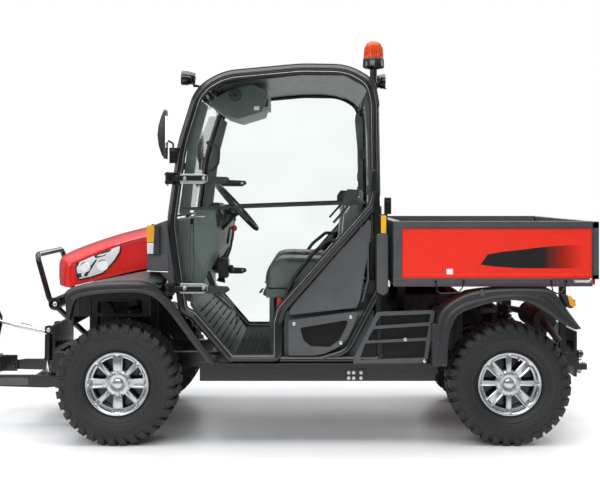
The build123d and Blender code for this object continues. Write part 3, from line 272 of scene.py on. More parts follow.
class Kit:
    """Collects several small shapes into one piece."""

    def __init__(self):
        self.verts, self.faces = [], []

    def add(self, verts, faces):
        base = len(self.verts)
        self.verts += [Vector(v) for v in verts]
        self.faces += [tuple(base + i for i in f) for f in faces]

    def slab(self, front, back):
        """Six-sided block between two rings of four points in metres."""
        self.add(front + back, SLAB_FACES)

    def stack(self, rings):
        """Closed skin over rings of mm points, with as many points each."""
        n, last = len(rings[0]), len(rings) - 1
        self.add([mm(*p) for ring in rings for p in ring],
                 [(j * n + i, j * n + (i + 1) % n, (j + 1) * n + (i + 1) % n, (j + 1) * n + i)
                  for j in range(last) for i in range(n)]
                 + [tuple(range(n)), tuple(range(n * last + n - 1, n * last - 1, -1))])

    def box(self, x, y, z):
        """Box between limits in mm."""
        c = [mm(px, py, pz) for px in x for py in y for pz in z]
        self.add(c, [(0, 1, 3, 2), (4, 6, 7, 5), (0, 4, 5, 1), (2, 3, 7, 6), (0, 2, 6, 4), (1, 5, 7, 3)])

    def prism(self, outline, y):
        """Side outline of (x, z) in mm pulled from y[0] to y[1]."""
        n = len(outline)
        faces = [tuple(range(n)), tuple(range(2 * n - 1, n - 1, -1))]
        faces += [(i, (i + 1) % n, n + (i + 1) % n, n + i) for i in range(n)]
        self.add([mm(px, yy, pz) for yy in y for px, pz in outline], faces)

    def holed(self, outer, holes, y):
        """Side outline of (x, z) in mm with holes in it, pulled from y[0] to y[1]."""
        loops = [list(outer)] + [list(h) for h in holes]
        flat = [p for loop in loops for p in loop]
        n = len(flat)
        tris = tessellate_polygon([[Vector((px, pz, 0)) for px, pz in loop] for loop in loops])
        faces = [tuple(t) for t in tris] + [tuple(n + i for i in reversed(t)) for t in tris]
        first = 0
        for loop in loops:
            m = len(loop)
            faces += [(first + i, first + (i + 1) % m, n + first + (i + 1) % m, n + first + i)
                      for i in range(m)]
            first += m
        self.add([mm(px, yy, pz) for yy in y for px, pz in flat], faces)

    def ring(self, outer, inner, y):
        """Closed band between two (x, z) outlines with as many points, from y[0] to y[1]."""
        n = len(outer)
        verts = [mm(px, yy, pz) for loop, yy in ((outer, y[0]), (outer, y[1]), (inner, y[1]), (inner, y[0]))
                 for px, pz in loop]
        faces = []
        for row in range(4):
            a, b = row * n, (row + 1) % 4 * n
            faces += [(a + i, a + (i + 1) % n, b + (i + 1) % n, b + i) for i in range(n)]
        self.add(verts, faces)

    def honeycomb(self, window, y, pitch, wall, sign):
        """Hexagonal mesh inside a side outline; its face lies at y and it is 3 mm deep."""
        step = pitch * sqrt(3) / 2
        low = min(z for _, z in window)
        rows = int((max(z for _, z in window) - low) / step) + 1
        left = min(x for x, _ in window)
        columns = int((max(x for x, _ in window) - left) / pitch) + 1
        for row in range(rows):
            for column in range(columns):
                cx, cz = left + (column + 0.5 * (row % 2)) * pitch, low + row * step
                if not inside((cx, cz), window):
                    continue
                verts = []
                for reach, depth in ((pitch / sqrt(3), 0), (pitch / sqrt(3) - wall, 0),
                                     (pitch / sqrt(3) - wall, 3)):
                    for k in range(6):
                        t = pi / 6 + k * pi / 3
                        verts.append(mm(cx + reach * cos(t), y - sign * depth, cz + reach * sin(t)))
                self.add(verts, [(6 * j + k, 6 * j + (k + 1) % 6, 6 * j + 6 + (k + 1) % 6, 6 * j + 6 + k)
                                 for j in range(2) for k in range(6)])

    def turned(self, profile, centre, axis, steps=32, caps=True):
        """Profile of (distance along the axis, radius) in mm, revolved; radius 0 closes an end."""
        axis = Vector(axis).normalized()
        side_a = axis.orthogonal().normalized()
        side_b = axis.cross(side_a)
        centre = mm(*centre)
        rings, verts = [], []
        for along, r in profile:
            if r < 1e-6:
                rings.append([len(verts)])
                verts.append(centre + axis * (along / 1000))
            else:
                rings.append(list(range(len(verts), len(verts) + steps)))
                for k in range(steps):
                    t = 2 * pi * k / steps
                    verts.append(centre + axis * (along / 1000)
                                 + (side_a * cos(t) + side_b * sin(t)) * (r / 1000))
        faces = []
        for a, b in zip(rings, rings[1:]):
            for k in range(steps):
                n = (k + 1) % steps
                if len(a) == 1 and len(b) > 1:
                    faces.append((a[0], b[k], b[n]))
                elif len(b) == 1 and len(a) > 1:
                    faces.append((a[k], b[0], a[n]))
                elif len(a) > 1:
                    faces.append((a[k], b[k], b[n], a[n]))
        for ring, flip in ((rings[0], False), (rings[-1], True)):
            if caps and len(ring) > 1:
                faces.append(tuple(reversed(ring)) if flip else tuple(ring))
        self.add(verts, faces)

    def bar(self, a, b, r, steps=16):
        """Round bar between two points in mm, with softened ends."""
        run = Vector(b) - Vector(a)
        length = run.length
        e = min(1.5, r * 0.3, length * 0.3)
        self.turned([(0, r - e), (e, r), (length - e, r), (length, r - e)], a, run, steps)

    def tube(self, points, r, steps=14, closed=False, flat=1.0):
        """Tube along a list of points in mm."""
        pts = [mm(*p) for p in points]
        n = len(pts)
        rings = []
        normal = None
        for i, p in enumerate(pts):
            if closed:
                d = (pts[(i + 1) % n] - pts[i - 1]).normalized()
            else:
                d = (pts[min(i + 1, n - 1)] - pts[max(i - 1, 0)]).normalized()
            if normal is None:
                normal = d.orthogonal().normalized()
            normal = (normal - d * normal.dot(d)).normalized()
            other = d.cross(normal)
            rings.append([p + (normal * cos(t) + other * sin(t) * flat) * (r / 1000)
                          for t in (2 * pi * k / steps for k in range(steps))])
        verts = [v for ring in rings for v in ring]
        faces = []
        for i in range(n if closed else n - 1):
            j = (i + 1) % n
            for k in range(steps):
                m = (k + 1) % steps
                faces.append((i * steps + k, j * steps + k, j * steps + m, i * steps + m))
        if not closed:
            faces.append(tuple(range(steps)))
            faces.append(tuple(range(n * steps - 1, (n - 1) * steps - 1, -1)))
        self.add(verts, faces)

    def bolt(self, at, axis, r=7, h=5, washer=True, sides=6):
        """Hex head on a washer."""
        if washer:
            self.turned([(0, r * 1.5), (1.4, r * 1.5), (1.8, r * 1.4), (1.8, 0)], at, axis, 20)
        self.turned([(1.6, r), (h, r), (h + 1, r * 0.86), (h + 1, 0)], at, axis, sides)

    def pipe(self, points, bend, steps, r, around, **kw):
        """Tube along corner points in mm; bend is the corners' radius and steps the cuts in each."""
        self.tube(rounded(points, bend, steps), r, around, **kw)

    def make(self, name, mat, body="root", **kw):
        """Turns what was collected into a piece, and starts afresh."""
        verts, faces = self.verts, self.faces
        self.verts, self.faces = [], []
        return finish(mesh_object(name, verts, faces, outward=True), mat, body, **kw)


def rounded(points, radius, steps=6, closed=False):
    """Corner points in mm turned into a run with rounded corners; one radius, or one for each corner."""
    bends = radius if isinstance(radius, (list, tuple)) else [radius] * len(points)
    pts = [Vector(p) for p in points]
    n = len(pts)
    out = []
    for i, p in enumerate(pts):
        if not closed and i in (0, n - 1):
            out.append(p)
            continue
        a, b = pts[i - 1], pts[(i + 1) % n]
        u, v = (a - p), (b - p)
        lu, lv = u.length, v.length
        u, v = u / lu, v / lv
        half = u.angle(v) / 2
        if half > radians(88.5):
            out.append(p)
            continue
        cut = min(bends[i] / max(1e-6, sin(half) / cos(half)), lu * 0.49, lv * 0.49)
        start, end = p + u * cut, p + v * cut
        for k in range(steps + 1):
            t = k / steps
            out.append((start * (1 - t) + p * t) * (1 - t) + (p * (1 - t) + end * t) * t)
    return [tuple(q) for q in out]


def outline(points, radius, steps=5):
    """Closed (x, z) outline with rounded corners."""
    return [(p[0], p[2]) for p in rounded([(x, 0, z) for x, z in points], radius, steps, True)]


def side(sign, a, b):
    """Span in y between two distances from the centre plane, on one side."""
    return tuple(sorted((sign * a, sign * b)))


def grown(points, by):
    """Closed (x, z) outline with each edge moved outwards, or inwards where by is negative."""
    n = len(points)
    area = sum(points[i - 1][0] * points[i][1] - points[i][0] * points[i - 1][1] for i in range(n))
    turn = by if area > 0 else -by
    edges = []
    for i in range(n):
        a, b = Vector(points[i]), Vector(points[(i + 1) % n])
        d = (b - a).normalized()
        edges.append((a + Vector((d.y, -d.x)) * turn, d))
    moved = []
    for i in range(n):
        (p, d), (q, e) = edges[i - 1], edges[i]
        gap = q - p
        moved.append(tuple(p + d * ((gap.x * e.y - gap.y * e.x) / (d.x * e.y - d.y * e.x))))
    return moved


def inside(point, polygon):
    """True where an (x, z) point lies inside a closed outline."""
    x, z = point
    hit = False
    for (ax, az), (bx, bz) in zip(polygon, polygon[1:] + polygon[:1]):
        if (az > z) != (bz > z) and x < ax + (bx - ax) * (z - az) / (bz - az):
            hit = not hit
    return hit


# CAD nodes whose edges are rounded, with the width in mm
for name, width in (("chassis_frame", 3), ("floor_pan", 5), ("seat_base", 6), ("engine_block", 8),
                    ("drive_units", 6), ("roof_panel", 6), ("rear_wall", 4), ("door_left", 3),
                    ("door_right", 3), ("cargo_bed", 4), ("tailgate", 4), ("linkage_base", 3),
                    ("lift_arms", 3), ("coupler", 3), ("tow_hitch", 3), ("cab_frame", 2),
                    ("rear_carriers", 4), ("knuckle_left", 4), ("knuckle_right", 4)):
    weld = NODES[name].modifiers.new("weld", "WELD")
    weld.merge_threshold = 0.00002
    round_edges(NODES[name], width, 2, 30, harden=True)


# ================================================================ wheels
TYRE_R, TRACK = 318.0, 600.0
CARCASS = ((86.5, 154), (86.5, 170), (95, 176), (104, 184), (112, 193), (113.5, 198), (112, 202), (116, 210),
           (122, 226), (125, 246), (124.5, 262), (121, 278), (114, 293), (102, 303), (62, 307), (0, 308))
LUGS = 33
TREAD_R = 317.8                  # top of the lugs, from the wheel's centre
LIP_RINGS = ((118.2, 214), (124.8, 240))


def wheel_point(axle, sign, out, r, t):
    return mm(axle + r * cos(t), sign * (TRACK + out), TYRE_R + r * sin(t))


def make_tyre(end, axle, sign, name):
    kit = Kit()
    profile = list(CARCASS) + [(-o, r) for o, r in reversed(CARCASS[:-1])]
    steps = 96
    verts = [wheel_point(axle, sign, o, r, 2 * pi * k / steps) for k in range(steps) for o, r in profile]
    n = len(profile)
    faces = [(k * n + i, k * n + i + 1, ((k + 1) % steps) * n + i + 1, ((k + 1) % steps) * n + i)
             for k in range(steps) for i in range(n - 1)]
    kit.add(verts, faces)
    # shoulder lugs that wrap down the sidewall, long and short in turn
    for k in range(LUGS):
        t = 2 * pi * (k + 0.5 * (sign > 0)) / LUGS
        for flank in (-1, 1):
            long = (k + (flank > 0)) % 2
            top = ((126.2, 262 if long else 276), (125.6, 285), (121, 304), (108, 317.3),
                   (66 if long else 74, TREAD_R))
            foot = ((119, 258 if long else 272), (117, 280), (110, 294), (100, 299),
                    (64 if long else 70, 303))
            half = (0.066 if long else 0.058)
            shift = 0.045 * flank
            ring = []
            for j, ((to, tr), (fo, fr)) in enumerate(zip(top, foot)):
                w = half * (0.86 + 0.05 * j)
                turn = t + shift + 0.012 * j
                for a in (-w, w):
                    ring.append(wheel_point(axle, sign, flank * to, tr, turn + a))
                for a in (-w * 1.15, w * 1.15):
                    ring.append(wheel_point(axle, sign, flank * fo, fr, turn + a))
            faces = []
            for j in range(len(top) - 1):
                a, b = 4 * j, 4 * (j + 1)
                faces += [(a, b, b + 1, a + 1), (a, a + 2, b + 2, b), (a + 1, b + 1, b + 3, a + 3)]
            faces += [(0, 1, 3, 2), (4 * len(top) - 4, 4 * len(top) - 2, 4 * len(top) - 1, 4 * len(top) - 3)]
            kit.add(ring, faces)
        # two staggered rows of centre blocks with slanted ends
        for row in (-1, 1):
            turn = t + row * 0.048
            for lo, hi, w, lean in ((7, 31, 0.056, 0.030), (37, 60, 0.046, -0.024)):
                block = []
                for o, d in ((lo, 0), (hi, lean)):
                    for r, grow in ((TREAD_R, 1.0), (304, 1.14)):
                        for a in (-w, w):
                            block.append(wheel_point(axle, sign, row * o, r,
                                                     turn + (0.095 if lo > 20 else 0) * row + d + a * grow))
                kit.add(block, [(0, 1, 5, 4), (0, 4, 6, 2), (1, 3, 7, 5), (0, 2, 3, 1), (4, 5, 7, 6)])
    # small lip and band rings moulded on the sidewall
    for o, r in LIP_RINGS:
        for flank in (-1, 1):
            kit.tube([(axle + r * cos(t), sign * (TRACK + flank * o), TYRE_R + r * sin(t))
                      for t in (2 * pi * k / 96 for k in range(96))], 1.3, 5, closed=True)
    tyre = kit.make(f"tyre_tread_{end}_{name}", "tyre_rubber", f"wheel_{end}_{name}", smooth=32)
    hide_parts(f"tyre_{end}_{name}")


def spoke(kit, axle, sign, turn, inner, outer, half_in, half_out, out_in, out_out, depth, rib):
    """Radial bar of the wheel; half widths at its root and tip, and how far out its face lies."""
    c, s = cos(turn), sin(turn)

    def at(r, w, out):
        return mm(axle + r * c - w * s, sign * (TRACK + out), TYRE_R + r * s + w * c)
    steps = 6
    verts, faces = [], []
    for k in range(steps + 1):
        f = k / steps
        r = inner + (outer - inner) * f
        w = half_in + (half_out - half_in) * f
        face = out_in + (out_out - out_in) * f + 5 * sin(pi * f)
        verts += [at(r, -w, face - depth), at(r, -w, face - 3), at(r, -w * 0.78, face),
                  at(r, -w * 0.5, face - rib), at(r, w * 0.5, face - rib),
                  at(r, w * 0.78, face), at(r, w, face - 3), at(r, w, face - depth)]
    for k in range(steps):
        for j in range(8):
            a, b = 8 * k + j, 8 * k + (j + 1) % 8
            faces.append((a, b, b + 8, a + 8))
    faces.append(tuple(range(8)))
    faces.append(tuple(range(8 * steps + 7, 8 * steps - 1, -1)))
    kit.add(verts, faces)


# barrel: inner lip, well, bead seats, outer lip and the dished ring behind the spokes
BARREL = [(-88, 142.5), (-95, 146), (-95, 165), (-92, 166), (-87.5, 165), (-87, 152), (-60, 150), (-40, 143),
          (40, 143), (60, 150), (87, 152), (87.5, 165), (92, 166), (94.8, 164.5), (95, 160), (92, 154),
          (86, 149), (72, 145.5), (58, 142), (44, 138), (30, 141), (0, 142.2), (-88, 142.5)]
SPOKES = 8                       # wide and narrow in turn
VALVE_TURN = 0.4                 # from the first spoke


def make_rim(end, axle, sign, name):
    kit = Kit()
    centre, out_axis = (axle, sign * TRACK, TYRE_R), (0, sign, 0)
    kit.turned(BARREL, centre, out_axis, 96, caps=False)
    # web behind the spokes with eight windows between them
    wide0 = 0.0 if end == "front" else pi / 4
    for k in range(SPOKES):
        shape = (13, 15, 63, 66, 20, 3.5) if k % 2 else (22, 27, 64, 68, 22, 4)
        spoke(kit, axle, sign, wide0 + k * 2 * pi / SPOKES, 40, 143, *shape)
    # ring that joins the spokes at the barrel, and the hub pad
    kit.turned([(40, 143), (44, 134), (56, 133), (61, 136), (62, 143)], centre, out_axis, 96, caps=False)
    kit.turned([(45, 25), (45, 68), (56, 70), (62, 65), (66, 56), (66, 36), (63, 29), (63, 25)], centre,
               out_axis, 64, caps=False)
    # raised tabs on the rim edge over the spoke ends
    for k in range(SPOKES):
        turn = wide0 + k * 2 * pi / SPOKES
        w = 0.115 if k % 2 == 0 else 0.075
        pts, n = [], 7
        for j in range(n):
            a = turn - w + 2 * w * j / (n - 1)
            dip = 8 * sin(pi * j / (n - 1))
            for r, o in ((162, 94), (162, 94.8), (154, 93.5), (152 - dip, 88)):
                pts.append(wheel_point(axle, sign, o, r, a))
        faces = []
        for j in range(n - 1):
            for i in range(3):
                faces.append((4 * j + i, 4 * j + i + 1, 4 * j + i + 5, 4 * j + i + 4))
        faces += [(0, 1, 2, 3), (4 * n - 4, 4 * n - 1, 4 * n - 2, 4 * n - 3)]
        kit.add(pts, faces)
    rim = kit.make(f"alloy_{end}_{name}", "alloy_silver", f"wheel_{end}_{name}", smooth=30, bevel=1.2)
    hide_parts(f"rim_{end}_{name}")
    # hub cap, nuts and valve
    kit.turned([(66, 26), (72, 25.5), (75, 22), (76, 0)], centre, out_axis, 32)
    kit.make(f"hub_cap_{end}_{name}", "alloy_silver", f"wheel_{end}_{name}", smooth=40)
    for k in range(4):
        turn = wide0 + k * pi / 2
        at = (axle + 53 * cos(turn), sign * (TRACK + 65), TYRE_R + 53 * sin(turn))
        kit.turned([(0, 12.5), (1.5, 12), (1.5, 9.4)], at, out_axis, 20, caps=False)
        kit.turned([(1, 9), (12, 8.4), (14.5, 6), (14.5, 0)], at, out_axis, 6)
    foot, tip = ((axle + r * cos(wide0 + VALVE_TURN), sign * (TRACK + out),
                  TYRE_R + r * sin(wide0 + VALVE_TURN)) for r, out in ((138, 60), (132, 84)))
    kit.bar(foot, tip, 4, 10)
    kit.make(f"wheel_nuts_{end}_{name}", "zinc", f"wheel_{end}_{name}", smooth=30)
    # black disc behind the spokes: painted shade that darkens the windows between them
    kit.turned([(10, 141), (10, 74), (40, 72)], centre, out_axis, 64, caps=False)
    kit.make(f"wheel_shade_disc_{end}_{name}", "frame_black", f"wheel_{end}_{name}", smooth=30)


for end, axle in (("front", 0.0), ("rear", WB)):
    for sign, name in SIDES:
        make_tyre(end, axle, sign, name)
        make_rim(end, axle, sign, name)


# ================================================================ hood and headlights
def between(table, x):
    """Value at x on a table of (x, value)."""
    if x <= table[0][0]:
        return table[0][1]
    for (a, va), (b, vb) in zip(table, table[1:]):
        if x <= b:
            return va + (vb - va) * (x - a) / (b - a)
    return table[-1][1]


def lofted(name, rows, mat, body="root", thickness=0, subdiv=1, offset=-1.0, smooth=50):
    """Sheet over rows of mm points, with an optional thickness in mm."""
    n = len(rows[0])
    faces = [(i * n + k, i * n + k + 1, i * n + n + k + 1, i * n + n + k)
             for i in range(len(rows) - 1) for k in range(n - 1)]
    obj = mesh_object(name, [mm(*p) for row in rows for p in row], faces)
    if subdiv:
        s = obj.modifiers.new("round", "SUBSURF")
        s.levels = s.render_levels = subdiv
    if thickness:
        s = obj.modifiers.new("thick", "SOLIDIFY")
        s.thickness, s.offset = thickness / 1000, offset
        round_edges(obj, min(1.5, thickness * 0.3), 2, 50, name="lip")
    return finish(obj, mat, body, smooth=smooth)


HOOD_W = 488.0                   # half width
HOOD_NOSE, HOOD_REAR = -417, 146
NOSE_FOOT = 804
CROWN = ((-417, 938), (-371, 975), (-283, 1010), (-166, 1051), (-49, 1086), (74, 1115), (146, 1127))
HOOD_FOOT = ((-425, 802), (-276, 808), (79, 894), (146, 906))
CREASE = ((-417, 80), (-256, 74), (-19, 52), (146, 44))


def crease_z(x):
    """Height of the crease between the hood's top and its flank."""
    return between(CROWN, x) - between(CREASE, x)


def hood_rows():
    """Rows across the hood from the nose's foot over the top to the rear edge."""
    across = (0, 0.2, 0.42, 0.62, 0.78, 0.88, 0.945, 0.985, 1.0)
    rows = []
    along = (0, 0.02, 0.06, 0.14, 0.24, 0.36, 0.48, 0.6, 0.72, 0.84, 0.94, 1.0)
    for u in along:
        row = []
        for v in across:
            y = HOOD_W * v
            front = HOOD_NOSE + 128 * (v ** 2.6)
            x = front + u * (HOOD_REAR - front)
            top = between(CROWN, x + (4 if u == 0 else 0))
            drop = between(CREASE, x) * (0.06 * v + 0.94 * v ** 3.2)
            row.append((x, y, top - drop - (9 if u == 0 else 0)))
        # crease: a short step in, then the flank down to its foot
        x, _, z = row[-1]
        foot = between(HOOD_FOOT, x)
        row += [(x, HOOD_W - 5, z - 9), (x, HOOD_W - 7, z - 24), (x, HOOD_W - 3, z - 0.55 * (z - foot)),
                (x, HOOD_W - 1, z - 0.8 * (z - foot)), (x, HOOD_W - 3, foot + 4)]
        rows.append(row)
    nose = []
    for k, out in ((1.0, 2), (0.72, 8), (0.42, 9), (0.16, 6)):
        nose.append([(x - out * (1 - (y / HOOD_W) ** 2), y, z - k * max(0, z - NOSE_FOOT)) for x, y,
                     z in rows[0]])
    return [[(x, -y, z) for x, y, z in reversed(row[1:])] + row for row in nose + rows]


hood = lofted("hood_skin", hood_rows(), "body_red", "hood", thickness=6, subdiv=2)
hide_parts("hood")

kit = Kit()
# inner frame, hinge eyes and rubber stops under the hood
for sign in BOTH:
    kit.pipe([(-270, sign * 300, 955), (-100, sign * 330, 1010), (60, sign * 330, 1055),
              (128, sign * 210, 1085)], 40, 6, 9, 10)
    kit.box((118, 142), side(sign, 192, 228), (1111, 1118))
    kit.bar((142, sign * 192, 1126), (142, sign * 228, 1126), 6.5, 20)
    kit.box((131, 141), side(sign, 192, 228), (1117, 1127))
kit.pipe([(-270, -300, 955), (-330, 0, 960), (-270, 300, 955)], 60, 6, 9, 10)
kit.make("hood_frame", "frame_black", "hood", bevel=1)

# shut line trim along the hood's crease
for sign in BOTH:
    kit.tube([(x, sign * (HOOD_W - 5), crease_z(x) - 11) for x in (-150 + 290 * k / 14 for k in range(15))],
             1.8, 8)
kit.make("hood_crease_line", "decal_black", "hood", smooth=40)

LENS = ((-256, 946), (-215, 967), (-160, 990), (-73, 1017), (-22, 1034), (-15, 1026), (-20, 994), (-46, 952),
        (-84, 909), (-111, 883), (-170, 861), (-245, 846), (-256, 898))


def lens_y(x, z, lift):
    """How far out the headlight's face lies: it leans in towards the crease."""
    return HOOD_W - 3 - max(0, 26 - (crease_z(x) - z)) * 0.35 + lift


def middle(shape):
    return sum(p[0] for p in shape) / len(shape), sum(p[1] for p in shape) / len(shape)


def lens_sheet(shape, lift, dome, sign, steps=5):
    """Domed sheet over an outline, from its edge to its middle."""
    cx, cz = middle(shape)
    rows = []
    for k in range(steps):
        f = k / steps
        row = []
        for x, z in shape + shape[:1]:
            px, pz = x + (cx - x) * f, z + (cz - z) * f
            row.append((px, sign * (lens_y(px, pz, lift) + dome * (1 - (1 - f) ** 2)), pz))
        rows.append(row)
    rows.append([(cx, sign * (lens_y(cx, cz, lift) + dome), cz)] * (len(shape) + 1))
    return rows


def shrink(shape, by):
    """Outline drawn in towards its middle by a share."""
    cx, cz = middle(shape)
    return [(x + (cx - x) * by, z + (cz - z) * by) for x, z in shape]


for sign, name in SIDES:
    shape = outline(LENS, 10, 3)
    kit = Kit()
    pts = [(x, sign * lens_y(x, z, 8), z) for x, z in shape]
    kit.tube(pts, 4.2, 8, closed=True)
    bezel = kit.make(f"headlight_bezel_{name}", "trim_black", "hood", smooth=60)
    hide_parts("headlights")
    rows = lens_sheet(shrink(shape, 0.03), 9, 0.5, sign)
    lofted(f"headlight_bowl_{name}", rows, "bowl_white", "hood", subdiv=0, smooth=60)
    # dark inner masks, two bowls and a light strip, as seen through the lens
    for mask in (((-252, 936), (-232, 950), (-226, 862), (-250, 852)),
                 ((-165, 982), (-60, 1012), (-100, 976), (-150, 962)),
                 ((-215, 870), (-150, 955), (-142, 953), (-200, 862))):
        kit.slab(*([mm(x, sign * lens_y(x, z, lift), z) for x, z in mask] for lift in (10.6, 8)))
    kit.make(f"headlight_mask_{name}", "decal_black", "hood", smooth=20)
    for cx, cz, r in ((-205, 915, 27), (-112, 925, 30)):
        kit.turned([(1, r * 1.06), (4, r), (2.2, r * 0.8), (1.8, r * 0.45), (1.6, 0)],
                   (cx, sign * lens_y(cx, cz, 8.2), cz), (0, sign, 0), 32, caps=False)
        kit.turned([(1.4, r * 0.22), (4, r * 0.2), (4.6, 0)], (cx, sign * lens_y(cx, cz, 8.2), cz),
                   (0, sign, 0), 16, caps=False)
    kit.make(f"headlight_lamps_{name}", "mirror", "hood", smooth=50)
    rows = lens_sheet(shape, 12.4, 1.6, sign)
    lofted(f"headlight_lens_{name}", rows, "lens_clear", "hood", thickness=1, subdiv=1)

# ================================================================ nose, fenders, flares
NOSE = (-285, -273)
FENDER_TOP = [(-276, 785), (-119, 822), (34, 832), (140, 838), (235, 860), (235, 848), (140, 826), (34, 820),
              (-119, 810), (-276, 773)]
for z in ((600, 625), (645, 661), (681, 697), (717, 733), (753, 790)):
    kit.box(NOSE, (-401, 401), z)
for sign in BOTH:
    kit.box(NOSE, side(sign, 400, 470), (600, 790))
    # inner fender, open over the spring and damper
    kit.holed(outline([(-285, 646), (140, 646), (140, 825), (-100, 808), (-285, 772)], 8, 4),
              [outline([(-150, 662), (98, 662), (98, 738), (-136, 738)], 20, 5)], side(sign, 458, 470))
    kit.box((-284, 59), side(sign, 230, 469), (727, 737))
    kit.prism(FENDER_TOP, side(sign, 458, 704))
    kit.box((-180, 150), side(sign, 216, 222), (432, 760))
    for x in (-250, -190, 118):
        kit.box((x, x + 10), side(sign, 469, 474), (650, 768))
nose_body = kit.make("inner_fenders", "trim_black", bevel=2)
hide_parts("front_body")
for k in range(6):
    z = 628 + 25 * k
    kit.box((-288, -276), (-395, 395), (z, z + 7))
for k in range(-7, 8):
    kit.box((-281, -277), (k * 54 - 3, k * 54 + 3), (618, 770))
kit.make("nose_grille", "trim_black", bevel=1.5)

FLARE_TOP = ((-242, 664), (-250, 740), (-252, 798), (-232, 820), (-180, 836), (-119, 848), (-40, 855),
             (34, 858), (100, 858.5), (145, 856), (188, 843), (239, 807), (290, 751), (345, 671), (400, 592),
             (460, 505), (519, 420))
FLARE_FOOT = ((-225, 664), (-214, 716), (-202, 757), (-188, 772), (-150, 782), (-110, 789), (-45, 797),
              (34, 800), (90, 802), (137, 800), (178, 787), (222, 757), (262, 712), (313, 643), (365, 575),
              (417, 504), (470, 434))
FLARE_IN = 706
RIB_AT = 0.68                    # share of the way from the flare's top to its foot
FLARE_LIP = ((706, 0.0, 3), (735, 0.0, 2), (765, 0.0, 0), (781, 0.05, 0), (788, 0.16, 0), (790, 0.35, 0),
             (790, 0.7, 0), (788, 0.88, 0), (782, 0.97, 0), (770, 1.0, 0), (740, 0.985, 0), (712, 0.96, 0))
FENDER_CROWN = ((-283, 802, 768), (-262, 806, 806), (-232, 815, 822), (-170, 832, 839), (-90, 853, 852),
                (0, 873, 858), (80, 889, 861), (135, 903, 859), (190, 905, 848), (235, 905, 812))


def flare_limit(x):
    """How far out the flare reaches: it narrows towards the sill."""
    return 790 if x < 150 else max(718, 790 - 0.72 * (x - 150))


for sign, name in SIDES:
    rows = []
    for (ox, oz), (ix, iz) in zip(FLARE_TOP, FLARE_FOOT):
        limit = flare_limit(ox)
        row = []
        for y, f, up in FLARE_LIP:
            out = FLARE_IN + (y - FLARE_IN) * (limit - FLARE_IN) / 84
            row.append((ox + (ix - ox) * f, sign * min(out, limit - 0.2),
                        oz + (iz - oz) * f + up * (ox < 150)))
        rows.append(row)
    flare = lofted(f"front_flare_{name}", rows, "flare_grey", thickness=5, subdiv=2, offset=-1.0 * -sign)
    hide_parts("front_flares")
    # moulded rib that parts the dark band from the lip
    kit = Kit()
    pts = [(ox + (ix - ox) * RIB_AT, sign * (flare_limit(ox) - 1.2), oz + (iz - oz) * RIB_AT)
           for (ox, oz), (ix, iz) in list(zip(FLARE_TOP, FLARE_FOOT))[2:]]
    kit.pipe(pts, 30, 3, 2.2, 6)
    kit.make(f"front_flare_rib_{name}", "panel_grey", smooth=60)
    # top of the fender from the hood's foot to the flare
    rows = []
    for x, z_in, z_out in FENDER_CROWN:
        rows.append([(x, sign * (481 + 227 * f), z_in - 3 + (z_out + 3 - z_in) * f ** 1.5 + 7 * sin(pi * f))
                     for f in (0, 0.08, 0.3, 0.6, 0.85, 1.0)])
    lofted(f"fender_top_{name}", rows, "panel_grey", thickness=4, subdiv=2, offset=1.0 * sign)

# ================================================================ doors and cab trim
SILL_Z = 446.3
CAB_LOOP = [(843, SILL_Z), (592, SILL_Z), (398, 672), (340, 700), (279, 1160), (335, 1560), (425, 1850),
            (560, 1930), (960, 1967), (1200, 1963), (1325, 1890), (1345, 1780), (1352, 1300), (1336, 1240),
            (862, 705), (843, 640)]
CAB_BENDS = [34, 40, 70, 60, 400, 900, 260, 300, 900, 320, 130, 200, 300, 70, 70, 70]
DOOR_FACE = 720                  # outer face of the door's band
DOOR_IN = 705
CAB_Y = 679
HINGE_ZS = (1390, 816)
STRAP_ZS = (1388, 821)
HINGE = (270, 735)               # pin of the door hinges, (x, y)


def loop_at(grow, steps=8):
    """Door opening's outline moved out from the tube's middle line."""
    return outline(grown(CAB_LOOP, grow), [max(8, r + grow) for r in CAB_BENDS], steps)


def make_cab():
    kit = Kit()
    for sign in BOTH:
        kit.tube([(x, sign * CAB_Y, z) for x, z in loop_at(0)], 21, 22, closed=True)
        kit.pipe([(1350, sign * CAB_Y, 1270), (1372, sign * CAB_Y, SILL_Z), (850, sign * CAB_Y, SILL_Z)],
                 30, 8, 20, 20)
        kit.pipe([(1362, sign * CAB_Y, 803), (1197, sign * CAB_Y, 487), (1060, sign * CAB_Y, SILL_Z + 1)],
                 120, 10, 19, 20)
    for (x, z), r in (((438, 1857), 20), ((1329, 1868), 20), ((1366, SILL_Z + 1), 18)):
        kit.bar((x, -CAB_Y + 8, z), (x, CAB_Y - 8, z), r, 20)
    tubes = kit.make("cab_tubes", "frame_black", smooth=60)
    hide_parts("cab_frame")
    # door hinge lugs, their pins and the weld gussets in the upper corners
    for sign in BOTH:
        for z in HINGE_ZS:
            for base in (z - 23, z + 15):
                kit.box((256, 277), side(sign, 695, 747), (base, base + 8))
                kit.box((256, 323), side(sign, 676, 695), (base, base + 8))
                kit.box((258, 301), side(sign, 697, 744),
                        (base, base + 15) if base > z else (base - 8, base + 8))
            kit.bar((HINGE[0], sign * HINGE[1], z - 16), (HINGE[0], sign * HINGE[1], z + 16), 6, 20)
        kit.prism(outline([(448, 1848), (500, 1878), (452, 1878)], 4, 3), side(sign, 655, 664))
    kit.make("cab_hinge_lugs", "frame_black", bevel=1.5)


